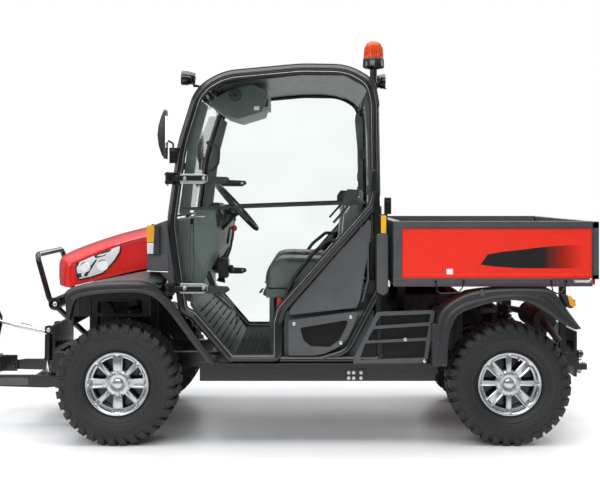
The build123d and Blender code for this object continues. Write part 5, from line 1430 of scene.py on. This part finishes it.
def make_seat(sign, name):
    mid = sign * SEAT_Y
    half = SEAT_W / 2
    rings = []
    for z, grow, crown in CUSHION_RINGS:
        plan = rounded_plan((764 + grow, 1160 - grow), (mid - half + 4 + grow, mid + half - 4 - grow), 60)
        ring = []
        for x, y, _ in plan:
            side_lift = 12 * crown * abs((y - mid) / half) ** 2
            ring.append((x, y, z + side_lift - crown * 10 * max(0, (x - 1000) / 160)))
        rings.append(ring)
    cushion = cover(f"{name}_seat_cover", rings)
    puffed(cushion, 14, lambda co: co.z < 0.812)
    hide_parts(f"{name}_cushion")
    seam = seam_on(cushion,
                   [(x, y, 1100) for x, y,
                    _ in rounded_plan((800, 1130), (mid - half + 60, mid + half - 60), 40)], (0, 0, -1))
    for x in (905, 1010):
        line = seam_on(cushion, [(x + 8 * sin(pi * k / 20), mid - half + 62 + (SEAT_W - 124) * k / 20, 1100)
                                 for k in range(21)], (0, 0, -1), closed=False)
        seam.add(line.verts, line.faces)
    seam.make(f"{name}_seat_seams", "trim_black", smooth=60)
    # backrest: taller rounded pad with side bolsters
    rings = []
    for z, x0, x1, grow in BACK_RINGS:
        plan = rounded_plan((x0 + 3, x1 - 3), (mid - half + 5 + grow, mid + half - 5 - grow), 34)
        rings.append([(x + (8 if x < (x0 + x1) / 2 and abs(y - mid) < half - 80 else 0), y, z) for x,
                      y, _ in plan])
    back = cover(f"{name}_back_cover", rings)
    puffed(back, 12, lambda co: co.x * 1000 - FA > 1262)
    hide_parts(f"{name}_backrest")
    loop = rounded([(0, mid - half + 62, 850), (0, mid + half - 62, 850), (0, mid + half - 70, 1240),
                    (0, mid - half + 70, 1240)], 60, 6, True)
    seam = seam_on(back, [(1000, y, z) for _, y, z in loop], (1, 0, 0))
    for z in (960, 1080, 1170):
        line = seam_on(back, [(1000, mid - half + 66 + (SEAT_W - 132) * k / 20, z) for k in range(21)],
                       (1, 0, 0), closed=False)
        seam.add(line.verts, line.faces)
    seam.make(f"{name}_back_seams", "trim_black", smooth=60)
    # pan, slides, lever, buckle and belt
    kit = Kit()
    kit.prism(outline([(752, 768), (760, 800), (1330, 800), (1330, 756), (800, 754)], 8, 3),
              side(1, mid - 214, mid + 214))
    for y in (mid - 150, mid + 150):
        kit.box((790, 1300), (y - 14, y + 14), (735, 756))
        kit.pipe([(803, y, 447), (803, y, 700), (850, y, 742)], 40, 4, 15, 14)
        kit.turned([(0, 30), (5, 30), (8, 18)], (803, y, 446), (0, 0, 1), 20, caps=False)
    kit.make(f"{name}_seat_pan", "trim_black", bevel=3)
    kit.pipe([(744, mid - 70, 778), (730, mid - 70, 770), (730, mid + 70, 770), (744, mid + 70, 778)],
             15, 4, 5, 10)
    kit.make(f"{name}_slide_lever", "frame_black", smooth=60)
    kit.pipe([(1100, mid + sign * -238, 760), (1020, mid + sign * -240, 820), (980, mid + sign * -240, 905)],
             40, 4, 8, 10, flat=0.4)
    kit.prism(outline([(962, 900), (1000, 900), (990, 968), (958, 960)], 8, 3),
              side(1, mid + sign * -252, mid + sign * -228))
    kit.make(f"{name}_buckle", "trim_black", bevel=3)
    kit.box((962, 986), side(1, mid + sign * -249, mid + sign * -231), (958, 969))
    kit.prism(outline([(826, 706), (858, 706), (854, 756), (830, 756)], 6, 3),
              side(1, mid + sign * 222, mid + sign * 240))
    kit.make(f"{name}_buckle_button", "red_knob", bevel=2)


M["seat_vinyl"] = leathery("seat_vinyl", (0.098, 0.120, 0.112), 0.4, 420, 0.3, 0.0005)
for sign, name in ((-1, "driver"), (1, "passenger")):
    make_seat(sign, name)

# belts with their reels on the rear wall
BELT = 23                        # half width
for sign, name in SIDES:
    kit = Kit()
    path = [(1352, 632, 1560), (1350, 632, 1300), (1345, 628, 1100), (1332, 600, 930), (1300, 580, 812)]
    for (xa, ya, za), (xb, yb, zb) in zip(path, path[1:]):
        kit.slab(*([mm(x - deep, sign * (y + edge), z) for x, y, z, edge in
                    ((xa, ya, za, -BELT), (xa, ya, za, BELT), (xb, yb, zb, BELT), (xb, yb, zb, -BELT))]
                   for deep in (0, 1.6)))
    kit.make(f"belt_{name}", "decal_black", smooth=20)
    kit.prism(outline([(1318, 1530), (1356, 1530), (1356, 1600), (1326, 1604)], 8, 3), side(sign, 604, 656))
    kit.prism(outline([(1306, 780), (1356, 780), (1356, 850), (1312, 846)], 10, 3), side(sign, 560, 630))
    kit.make(f"belt_reel_{name}", "trim_black", bevel=4)

# ================================================================ floor, dash, levers
M["mat_rubber"] = surface("mat_rubber", (0.010, 0.012, 0.011), 0.75, tone=0.3, tone_scale=18,
                          grain=(700, 0.3, 0.0006))
kit.box((596, 866), (-648, 648), (444.5, 449))
for k in range(10):
    x = 608 + 27 * k
    kit.box((x, x + 13), (-630, -20), (448, 454))
    kit.box((x, x + 13), (20, 630), (448, 454))
kit.make("floor_mat", "mat_rubber", bevel=1.5)
lean = (591 - 393) / (739 - 445)
for k in range(8):
    z = 480 + 30 * k
    x = 591 - (z - 445) * lean
    kit.bar((x + 4, -600, z), (x + 4, -60, z), 4, 8)
    kit.bar((x + 4, 60, z), (x + 4, 600, z), 4, 8)
kit.make("toe_board_ribs", "mat_rubber", smooth=50)

DIAL_YS, DIAL_FACING = (-420, -240), (0.94, 0, 0.35)
dash = outline([(395, 1236), (395, 1002), (442, 904), (498, 1004), (519, 1120), (507, 1231)], 16, 5)
kit.prism(dash, (-651, 651))
board = kit.make("dash_skin", "interior_grey", bevel=5, segments=3)
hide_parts("dashboard")
# hood over the instruments, vents and the glove box door
kit.prism(outline([(452, 1236), (470, 1262), (514, 1258), (524, 1226), (508, 1206)], 8, 3), (-470, -190))
kit.prism(outline([(500, 1010), (514, 1010), (526, 1110), (512, 1112)], 5, 3), (180, 560))
for y in (-600, -80, 80, 600):
    kit.turned([(-4, 36), (6, 36), (8, 30), (3, 27)], (516, y, 1170), (1, 0, 0.1), 32, caps=False)
    for k in range(-2, 3):
        kit.box((514, 521), (y - 26, y + 26), (1168 + 10 * k, 1171 + 10 * k))
kit.make("dash_trim", "trim_black", bevel=2)
for y in DIAL_YS:
    kit.turned([(0, 38), (4, 40), (6, 37), (3, 35)], (520, y, 1212), DIAL_FACING, 32, caps=False)
for sign in BOTH:
    kit.tube([(400, sign * 640, 1243), (402, sign * 655, 1190), (455, sign * 655, 1190)], 3, 8)
kit.make("dash_rings", "zinc", smooth=50)
for y in DIAL_YS:
    kit.turned([(1, 36), (3, 34), (3.5, 0)], (520, y, 1212), DIAL_FACING, 32)
kit.make("dials", "decal_black", smooth=50)
for y, turn in zip(DIAL_YS, (0.7, -0.5)):
    c = Vector((524, y, 1213.5))
    kit.bar(c, c + Vector((-4, 20 * sin(turn), 20 * cos(turn))), 1.0, 6)
    for k in range(11):
        a = -2.2 + 0.44 * k
        kit.bar(c + Vector((-5, 27 * sin(a), 27 * cos(a))), c + Vector((-5.6, 31 * sin(a), 31 * cos(a))), 0.8,
                6)
kit.make("dial_marks", "label_white", smooth=30)
# near and far end pods of the dash
for sign, name in SIDES:
    kit = Kit()
    pod = [(332, 1124), (346, 1136), (448, 1130), (462, 1112), (448, 960), (392, 812), (346, 806), (338, 860)]
    kit.prism(outline([(x + 40, z) for x, z in pod], 18, 5), side(sign, 545, 640))
    kit.make(f"dash_pod_{name}", "interior_grey", bevel=22, segments=5)
    grip = ([(376, 1657), (418, 1604), (402, 1515), (333, 1446)],
            [(345, 1640), (420, 1600), (412, 1500), (350, 1450)])[sign > 0]
    kit.pipe([(x, sign * (600 + 30 * (k in (0, 3))), z) for k, (x, z) in enumerate(grip)], 45, 6, 9.5, 14)
    for x, z in (grip[0], grip[-1]):
        kit.turned([(-6, 15), (6, 15)], (x, sign * 632, z), (0, 1, 0), 20)
    kit.make(f"grab_handle_{name}", "trim_black", smooth=50)
    # inner lining of the front pillar
    kit.prism(outline([(318, 1200), (372, 1200), (414, 1560), (470, 1770), (430, 1800), (364, 1560)], 14, 4),
              side(sign, 618, 654))
    for x, z in ((352, 1290), (382, 1480), (412, 1640)):
        kit.turned([(0, 9), (4, 8), (5, 0)], (x, sign * 618, z), (0, -sign, 0), 20)
    kit.make(f"pillar_lining_{name}", "interior_grey", bevel=6, segments=3)
    kit.prism(outline([(1296, 1840), (1336, 1800), (1348, 1250), (1312, 1230), (1306, 1600), (1290, 1780)],
                      14, 4), side(sign, 622, 654))
    for z in (1650, 1420, 1330):
        kit.box((1303, 1316), side(sign, 600, 626), (z - 26, z + 26))
    kit.make(f"rear_pillar_lining_{name}", "interior_grey", bevel=6, segments=3)

for x, y, z, tx, tz in ((512, -95, 900, 562, 1094), (470, 20, 960, 420, 1136)):
    kit.pipe([(x - 22, y, z - 90), (x, y, z), ((x + tx) / 2 + 10, y, (z + tz) / 2), (tx, y, tz)],
             60, 5, 6.5, 12)
    kit.turned([(0, 26), (10, 24), (26, 16), (34, 9)], (x - 22, y, z - 96), (0.25, 0, 1), 24, caps=False)
kit.prism(outline([(482, 830), (536, 830), (538, 938), (482, 944)], 10, 3), (-170, -60))
kit.turned([(0, 20), (14, 22), (26, 20), (30, 0)], (536, -110, 880), (1, 0, 0), 24)
kit.make("levers", "trim_black", bevel=2)
for x, y, z in ((566, -95, 1112), (414, 20, 1150)):
    kit.turned([(18 - 18 * cos(pi * k / 12), 18 * sin(pi * k / 12)) for k in range(13)], (x, y, z - 18),
               (0, 0, 1), 28)
kit.make("lever_knobs", "red_knob", smooth=60)
for y, wide in ((-420, 42), (-300, 30)):
    kit.slab(*([mm(483 - dx, y - wide, 777 - dz), mm(483 - dx, y + wide, 777 - dz),
                mm(583 - dx, y + wide, 688 - dz), mm(583 - dx, y - wide, 688 - dz)] for dx,
               dz in ((0, 0), (8, 10))))
    kit.pipe([(530, y, 722), (470, y, 800), (440, y, 880)], 60, 5, 8, 10)
    for k in range(6):
        f = (k + 0.5) / 6
        kit.bar((483 + 100 * f + 2, y - wide + 4, 777 - 89 * f + 2),
                (483 + 100 * f + 2, y + wide - 4, 777 - 89 * f + 2), 3, 8)
kit.pipe([(583, -340, 690), (597, -340, 668), (601, -340, 628), (592, -340, 590)], 20, 4, 4, 8)
kit.make("pedals", "trim_black", bevel=2)

# ================================================================ steering wheel
WHEEL_R, GRIP_R = 161, 13.2
HUB = Vector((600, -SEAT_Y, 1237))
TILT = radians(42)
AXIS = Vector((cos(TILT), 0, sin(TILT)))
UP = Vector((-sin(TILT), 0, cos(TILT)))
ACROSS = Vector((0, 1, 0))


def on_wheel(r, turn, along=0.0):
    """Point on the steering wheel in mm, at a radius and a turn, and a distance along its column."""
    return tuple(HUB + (ACROSS * cos(turn) + UP * sin(turn)) * r + AXIS * along)


kit.tube([on_wheel(WHEEL_R, 2 * pi * k / 96) for k in range(96)], GRIP_R, 18, closed=True)
for k in range(64):
    t = 2 * pi * k / 64
    ahead = Vector(on_wheel(WHEEL_R - 11, t + 0.01)) - Vector(on_wheel(WHEEL_R - 11, t))
    kit.turned([(-3.2, 4.0), (0, 5.2), (3.2, 4.0)], on_wheel(WHEEL_R - 11, t), ahead, 8)
rim = kit.make("steering_rim", "trim_black", "steering_wheel", smooth=50)
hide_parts("steering_wheel")
kit.turned([(-45, 37), (-40, 38), (-22, 40), (-14, 52), (-4, 56), (2, 52), (6, 40), (8, 20), (8.5, 0)],
           tuple(HUB), tuple(AXIS), 48)
for turn in (0, pi, -pi / 2):
    for k in range(6):
        a, b = 40 + 20 * k, 60 + 20 * k
        wa, wb = 22 - 2.2 * k, 22 - 2.2 * (k + 1)
        ca, cb = on_wheel(a, turn, -9), on_wheel(b, turn, -9)
        across = Vector(on_wheel(1, turn + pi / 2)) - HUB
        verts = []
        for c, w in ((ca, wa), (cb, wb)):
            for s, up in ((-1, -5), (1, -5), (1, 4), (-1, 4)):
                verts.append(mm(*(Vector(c) + across * w * s * (0.75 if up > 0 else 1) + AXIS * up)))
        kit.add(verts, [(0, 1, 5, 4), (1, 2, 6, 5), (2, 3, 7, 6), (3, 0, 4, 7), (0, 3, 2, 1), (4, 5, 6, 7)])
kit.make("steering_hub", "trim_black", "steering_wheel", bevel=1.5)
kit.turned([(-172, 30), (-168, 44), (-120, 46), (-60, 38), (-48, 30), (-47, 0)], tuple(HUB), tuple(AXIS), 32)
for s in (-1, 1):
    c = HUB + AXIS * -80
    kit.tube([tuple(c + ACROSS * s * 30), tuple(c + ACROSS * s * 120 + UP * 12),
              tuple(c + ACROSS * s * 150 + UP * 14)], 6, 10)
kit.make("column_shroud", "trim_black", bevel=1.5)

# ================================================================ roof lining and overhead console
VENT = (586, 1862)
console = outline([(436, 1812), (480, 1856), (560, 1898), (680, 1930), (768, 1884), (762, 1850), (736, 1770),
                   (598, 1728), (520, 1752)], 12, 4)
kit.prism(console, (-262, 262))
piece = kit.make("console_skin", "interior_grey", bevel=14, segments=4)
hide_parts("overhead_console")
for sign in BOTH:
    kit.turned([(-2, 34), (6, 34), (8, 30), (2, 27), (-2, 26), (-2, 0)], (VENT[0], sign * 261, VENT[1]),
               (0, sign, 0), 36)
    for k in range(3):
        dx, dz = 27 * cos(k * pi / 3), 27 * sin(k * pi / 3)
        kit.bar((VENT[0] - dx, sign * 263, VENT[1] - dz), (VENT[0] + dx, sign * 263, VENT[1] + dz), 3, 6)
for y in (-150, 0, 150):
    kit.box((734, 768), (y - 50, y + 50), (1800, 1850))
kit.make("console_vents", "decal_black", bevel=2)
kit.box((756, 764), (-40, 40), (1786, 1796))
for sign in BOTH:
    kit.box((690, 720), side(sign, 258, 264), (1778, 1800))
kit.make("console_labels", "label_white", bevel=1)

ROOF_UNDER = ((470, 1868), (572, 1904), (760, 1934), (962, 1956), (1188, 1953), (1296, 1894), (1322, 1850))
rows = []
for x, z in ROOF_UNDER:
    rows.append([(x, y, z - 4 + 5 * (1 - (y / 650) ** 2))
                 for y in (-652, -560, -380, -190, 0, 190, 380, 560, 652)])
lofted("headliner", rows, "trim_black", thickness=3, subdiv=1, offset=0)
for y in (-648, 648):
    kit.pipe([(x, y, z - 12) for x, z in ROOF_UNDER], 60, 4, 14, 12, flat=0.8)
kit.bar((480, -640, 1862), (480, 640, 1862), 12, 14)
kit.bar((1318, -640, 1852), (1318, 640, 1852), 12, 14)
kit.make("headliner_edges", "rubber_black", smooth=60)
ROOF_TOP = ((458, 1886), (470, 1898), (510, 1916), (566, 1940), (700, 1962), (830, 1980), (962, 1991),
            (1100, 1993), (1200, 1988), (1262, 1956), (1300, 1926), (1306, 1900))
ROOF_HALF = 655
rows = []
for x, z in ROOF_TOP:
    row = []
    for y in range(1 - ROOF_HALF, ROOF_HALF, 109):
        rib = 4 if 80 < abs(y) % 260 < 150 else 0
        row.append((x, y, z - 10 * abs(y / ROOF_HALF) ** 4 + 6 * (1 - (y / ROOF_HALF) ** 2) - 6 + rib))
    rows.append(row)
roof = lofted("roof_skin", rows, "frame_black", thickness=5, subdiv=2, offset=-1)
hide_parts("roof_panel")

# ================================================================ springs, shafts and brakes
ARM_Z = (255, 395)
ARM_IN, ARM_OUT = 291, 560       # feet on the frame and ball joints, from the middle
ARM_FEET = [(x, z) for z in ARM_Z for x in (-110, 110)]
SHOCK = (34, 385)                # behind the axle, from the middle


def coil(kit, centre, z, r, wire, turns, steps=22):
    """Coil spring round an upright middle line, with closed ends."""
    points = []
    for k in range(int(turns * steps) + 1):
        f = k / (turns * steps)
        lift = min(1, max(0, (f * turns - 0.8) / (turns - 1.6)))
        t = 2 * pi * turns * f
        points.append((centre[0] + r * cos(t), centre[1] + r * sin(t), z[0] + (z[1] - z[0]) * lift))
    kit.tube(points, wire, 10)


dampers, coils, rods = Kit(), Kit(), Kit()
for axle, sign in CORNERS:
    at = (axle + SHOCK[0], sign * SHOCK[1], 0)
    dampers.turned([(266.5, 0), (266.5, 12), (290, 12), (296, 21), (430, 21), (436, 32), (446, 33), (450, 28),
                    (450, 22), (560, 21), (562, 0)], at, (0, 0, 1), 32)
    dampers.turned([(668, 10), (668, 32), (676, 33), (682, 22), (690, 14), (699, 12), (699, 0)], at,
                   (0, 0, 1), 32)
    dampers.turned([(600, 11), (606, 17), (640, 19), (668, 20)], at, (0, 0, 1), 24, caps=False)
    rods.turned([(560, 8), (670, 8)], at, (0, 0, 1), 20)
    coil(coils, at, (456, 663), 27.5, 5.4, 7.4)
piece = dampers.make("damper_bodies", "trim_black", smooth=40)
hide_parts("spring_dampers")
coils.make("coil_springs", "frame_black", smooth=60)
rods.make("damper_rods", "chrome_rod", smooth=50)

for axle, sign in CORNERS:
    ridges = []
    for k in range(6):
        y = 470 + 9 * k
        ridges += [(y, 30 + 1.5 * k), (y + 4.5, 23 + 1.5 * k)]
    kit.turned([(462, 0), (462, 20)] + ridges + [(528, 34), (534, 34), (534, 0)], (axle, 0, TYRE_R),
               (0, sign, 0), 32)
    for x, z in ARM_FEET:
        kit.turned([(-19, 0), (-19, 19), (-14, 19.5), (-13, 16.5), (13, 16.5), (14, 19.5), (19, 19), (19, 0)],
                   (axle + x, sign * ARM_IN, z), (1, 0, 0), 28)
kit.make("bushes_and_boots", "rubber_black", smooth=40)
for axle, sign in CORNERS:
    for x, z in ARM_FEET:
        for way in (1, -1):
            kit.bolt((axle + x + way * 19, sign * ARM_IN, z), (way, 0, 0), 8, 7)
    for z, up in ((ARM_Z[0] - 15, -1), (ARM_Z[1] + 15, 1)):
        kit.bolt((axle, sign * ARM_OUT, z), (0, 0, up), 9, 9)
kit.make("arm_bolts", "zinc", smooth=30)
for sign, name in SIDES:
    kit = Kit()
    kit.pipe([(48, sign * 446, 404), (46, sign * 440, 450), (20, sign * 420, 520), (-40, sign * 330, 560)],
             50, 6, 5, 10)
    kit.make(f"brake_hose_{name}", "rubber_black", smooth=60)

# ================================================================ front guard and lift
CROSS = (-412, 698)              # cross tube, (x, z)
GUARD = [(-248, 250, 425), (-248, 250, 520), (-398, 300, 672), (-445, 300, 718), (-516, 300, 971)]
run = [(x, -y, z) for x, y, z in GUARD] + [(x, y, z) for x, y, z in reversed(GUARD)]
kit.pipe(run, [28, 60, 90, 90, 48, 48, 90, 90, 60, 28], 8, 15, 22)
bar = kit.make("guard_tube", "frame_black", smooth=60)
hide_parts("front_guard")
kit.bar((CROSS[0], -317, CROSS[1]), (CROSS[0], 317, CROSS[1]), 34.5, 40)
for sign in BOTH:
    kit.turned([(314, 22), (314, 35.8), (320, 35), (320, 26), (317, 24), (317, 0)], (CROSS[0], 0, CROSS[1]),
               (0, sign, 0), 40, caps=False)
    kit.prism(outline([(-272, 430), (-226, 430), (-226, 500), (-248, 540), (-272, 520)], 8, 3),
              side(sign, 262, 270))
kit.make("guard_cross_tube", "frame_black", bevel=1.5)
for sign in BOTH:
    kit.bolt((CROSS[0], sign * 317, CROSS[1]), (0, sign, 0), 9, 7)
    kit.bolt((-248, sign * 270, 455), (0, sign, 0), 7, 5)
    kit.bolt((-248, sign * 270, 490), (0, sign, 0), 7, 5)
kit.make("guard_bolts", "zinc", smooth=30)

BASE, TIP = Vector((-470, 0, 490)), Vector((-830, 0, 570))
ALONG = (TIP - BASE).normalized()
for end, hole in ((BASE, 9), (TIP, 15)):
    kit.turned([(-16, hole), (-16, 23), (-14, 24), (14, 24), (16, 23), (16, hole), (-16, hole)], tuple(end),
               (0, 1, 0), 36, caps=False)
length = (TIP - BASE).length
kit.turned([(22, 9), (30, 10), (96, 10), (98, 13), (104, 14), (106, 13.8), (length - 112, 13.8),
            (length - 108, 14), (length - 100, 13), (length - 98, 10), (length - 30, 10), (length - 20, 9)],
           tuple(BASE), tuple(ALONG), 28, caps=False)
for k in range(8):
    for at in (BASE + ALONG * (34 + 7 * k), TIP - ALONG * (34 + 7 * k)):
        kit.turned([(-2, 10), (0, 11.5), (2, 10)], tuple(at), tuple(ALONG), 20, caps=False)
link = kit.make("top_link_turnbuckle", "zinc", "top_link", smooth=40)
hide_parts("top_link")
kit.pipe([tuple(BASE + ALONG * 160 + Vector((0, 12, 6))), tuple(BASE + ALONG * 160 + Vector((0, 13, 13))),
          tuple(BASE + ALONG * 225 + Vector((0, 13, 13))), tuple(BASE + ALONG * 225 + Vector((0, 12, 6)))], 8,
         4, 3, 8)
kit.make("top_link_lever", "frame_black", "top_link", smooth=50)
# pins through the lift's joints, with washers and rings
for sign in BOTH:
    kit.turned([(311, 0), (311, 13.6), (316.5, 13.4), (316.5, 0)], (-400, 0, 265), (0, sign, 0), 28)
    kit.bolt((-495, sign * 128, 530), (0, sign, 0), 8, 6)
for sign in (1, -1):
    kit.bolt((BASE.x, sign * 32, BASE.z), (0, sign, 0), 9, 7)
kit.make("lift_pins", "zinc", smooth=30)
for sign in BOTH:
    kit.turned([(311, 0), (311, 20), (315, 20), (316, 15), (316, 0)], (-800, 0, 265), (0, sign, 0), 28)
    kit.bolt((-500, sign * 128, 265), (0, sign, 0), 8, 6)
    kit.pipe([(-800, sign * 314, 268), (-812, sign * 320, 282), (-800, sign * 322, 296),
              (-788, sign * 320, 282), (-800, sign * 314, 268)], 8, 4, 1.8, 8)
kit.make("arm_pins", "zinc", "lift_arms", smooth=40)
for sign in BOTH:
    kit.prism(outline([(-762, 288), (-560, 288), (-560, 246), (-762, 246)], 14, 4), side(sign, 311, 312.4))
kit.make("arm_webs", "panel_grey", "lift_arms", bevel=0.6)
kit.box((-878, -866), (-150, 150), (334, 352))
kit.box((-878, -866), (-262, -150), (326, 340))
kit.box((-878, -866), (150, 262), (326, 340))
for sign in BOTH:
    kit.prism([(-874, 346), (-840, 346), (-874, 470)], side(sign, 37, 44))
kit.make("coupler_gussets", "frame_black", "coupler", bevel=2)
for sign in (1, -1):
    kit.bolt((TIP.x, sign * 36, TIP.z), (0, sign, 0), 9, 8)
kit.pipe([(-838, -44, 592), (-846, -52, 622), (-836, -52, 629), (-828, -44, 600)], 6, 4, 2.4, 8)
kit.make("coupler_pin", "zinc", "coupler", smooth=30)

def eye(hole):
    """Profile of a lift cylinder's eye round a hole of that radius."""
    return [(-8, hole), (-8, 23), (-6, 24), (6, 24), (8, 23), (8, hole), (-8, hole)]


RAM_HIGH, RAM_LOW = Vector((-495, 0, 530)), Vector((-500, 0, 265))
RAM_RUN = (RAM_LOW - RAM_HIGH).normalized()
barrels, rams, hoses = Kit(), Kit(), Kit()
for sign in BOTH:
    top = RAM_HIGH + Vector((0, sign * 110, 0))
    barrels.turned(eye(9), tuple(top), (0, 1, 0), 32, caps=False)
    barrels.turned([(22, 8), (26, 20), (28, 23), (158, 23), (159, 24), (173, 24), (175, 22), (175, 12)],
                   tuple(top), tuple(RAM_RUN), 36, caps=False)
    low = RAM_LOW + Vector((0, sign * 110, 0))
    rams.turned(eye(15), tuple(low), (0, 1, 0), 32, caps=False)
    rams.turned([(120, 0), (120, 9.8), (238, 9.8), (243, 7)], tuple(top), tuple(RAM_RUN), 24, caps=False)
    at = top + RAM_RUN * 44
    hoses.turned([(20, 8), (31, 8), (31, 6), (40, 6)], tuple(at), (1, 0, 0), 12)
barrel = barrels.make("lift_barrel_tubes", "frame_black", "lift_barrels", smooth=40)
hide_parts("lift_barrels")
ram = rams.make("lift_ram_rods", "chrome_rod", "lift_rods", smooth=40)
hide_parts("lift_rods")
hoses.make("ram_ports", "zinc", "lift_barrels", smooth=30)
# radiator behind the grille, and hoses in the front arch
kit.box((-236, -190), (-238, 238), (430, 760))
for k in range(26):
    z = 440 + 12 * k
    kit.box((-238.5, -236), (-226, 226), (z, z + 4))
kit.make("radiator", "trim_black", bevel=1.5)
for sign in BOTH:
    kit.pipe([(-190, sign * 150, 720), (-120, sign * 250, 700), (-60, sign * 262, 600),
              (-30, sign * 262, 470)], 60, 6, 9, 12)
    kit.pipe([(-200, sign * 180, 470), (-130, sign * 262, 520), (20, sign * 262, 560),
              (160, sign * 262, 540)], 60, 6, 6, 10)
kit.make("front_hoses", "rubber_black", smooth=60)

# ================================================================ stage, light, camera
def fading_floor(clear_from, clear_to):
    """Pale floor that thins out to nothing between two distances from the middle, in metres."""
    mat = surface("floor_pale", (0.88, 0.88, 0.885), 0.35, tone=0.01, tone_scale=2, grain=(60, 0.02, 0.0005))
    tree = mat.node_tree
    tex = tree.nodes.new("ShaderNodeTexCoord")
    length = tree.nodes.new("ShaderNodeVectorMath")
    length.operation = "LENGTH"
    tree.links.new(tex.outputs["Object"], length.inputs[0])
    tree.links.new(spread(tree, length.outputs["Value"], 1.0, 0.0, clear_from, clear_to),
                   tree.nodes["Principled BSDF"].inputs["Alpha"])
    return mat


# metres from here on
FLOOR_HALF = 9
FLOOR_CLEAR = (2.0, 4.6)
floor = mesh_object("floor", [(-FLOOR_HALF, -FLOOR_HALF, 0), (FLOOR_HALF, -FLOOR_HALF, 0),
                              (FLOOR_HALF, FLOOR_HALF, 0), (-FLOOR_HALF, FLOOR_HALF, 0)], [(0, 1, 2, 3)])
floor.data.materials.append(fading_floor(*FLOOR_CLEAR))

world = bpy.data.worlds.new("studio")
bpy.context.scene.world = world
world.use_nodes = True
wt = world.node_tree
wt.nodes.clear()
out = wt.nodes.new("ShaderNodeOutputWorld")
mix = wt.nodes.new("ShaderNodeMixShader")
seen, lit = wt.nodes.new("ShaderNodeBackground"), wt.nodes.new("ShaderNodeBackground")
seen.inputs["Color"].default_value, seen.inputs["Strength"].default_value = (1, 1, 1, 1), 1.0
lit.inputs["Color"].default_value = (0.93, 0.96, 1, 1)
# dark towards the horizon and bright overhead, so that painted tubes keep black flanks and clear highlights
sky = wt.nodes.new("ShaderNodeTexCoord")
height = wt.nodes.new("ShaderNodeSeparateXYZ")
wt.links.new(sky.outputs["Generated"], height.inputs[0])
SKY_LOW, SKY_HIGH = 0.16, 0.80   # strength at the horizon and overhead
wt.links.new(spread(wt, height.outputs["Z"], SKY_LOW, SKY_HIGH, 0.12, 0.75), lit.inputs["Strength"])
path = wt.nodes.new("ShaderNodeLightPath")
either = wt.nodes.new("ShaderNodeMath")
either.operation = "MAXIMUM"
wt.links.new(path.outputs["Is Camera Ray"], either.inputs[0])
wt.links.new(path.outputs["Is Transmission Ray"], either.inputs[1])
wt.links.new(either.outputs[0], mix.inputs["Fac"])
wt.links.new(lit.outputs[0], mix.inputs[1])
wt.links.new(seen.outputs[0], mix.inputs[2])
wt.links.new(mix.outputs[0], out.inputs["Surface"])


def area_light(name, place, target, size, power):
    """Soft lamp in metres and watts that glass doesn't show."""
    data = bpy.data.lights.new(name, "AREA")
    data.shape, data.size, data.size_y, data.energy = "RECTANGLE", size[0], size[1], power
    lamp = bpy.data.objects.new(name, data)
    lamp.location = place
    lamp.rotation_euler = (Vector(target) - Vector(place)).to_track_quat("-Z", "Y").to_euler()
    lamp.visible_transmission = False
    bpy.context.scene.collection.objects.link(lamp)


for name, place, height, size, power in (("overhead", (0, -0.5, 5.5), 0.6, (7, 5), 430),
                                         ("near_side", (-1.5, -6.5, 4.2), 0.9, (6, 2), 190),
                                         ("far_side", (1.5, 6.0, 3.5), 1.0, (6, 3), 150),
                                         ("front_end", (-6.5, -1.0, 2.8), 0.9, (3, 3), 110),
                                         ("rear_end", (6.5, 0.5, 2.8), 0.9, (3, 3), 100)):
    area_light(name, place, (0, 0, height), size, power)

# fitted to the photograph: level, off the centre, with the lens in mm
CAMERA_AT = (0.155, -6.290, 1.303)
CAMERA_LENS = 64.55
CAMERA_SHIFT = (-0.0222, -0.0917)
scene = bpy.context.scene
scene.view_settings.view_transform = "Standard"
scene.view_settings.look = "None"
cam = bpy.data.objects.new("camera", bpy.data.cameras.new("camera"))
scene.collection.objects.link(cam)
cam.location = CAMERA_AT
cam.rotation_euler = (radians(90), 0, 0)
cam.data.sensor_width, cam.data.lens = 36, CAMERA_LENS
cam.data.shift_x, cam.data.shift_y = CAMERA_SHIFT
scene.camera = cam
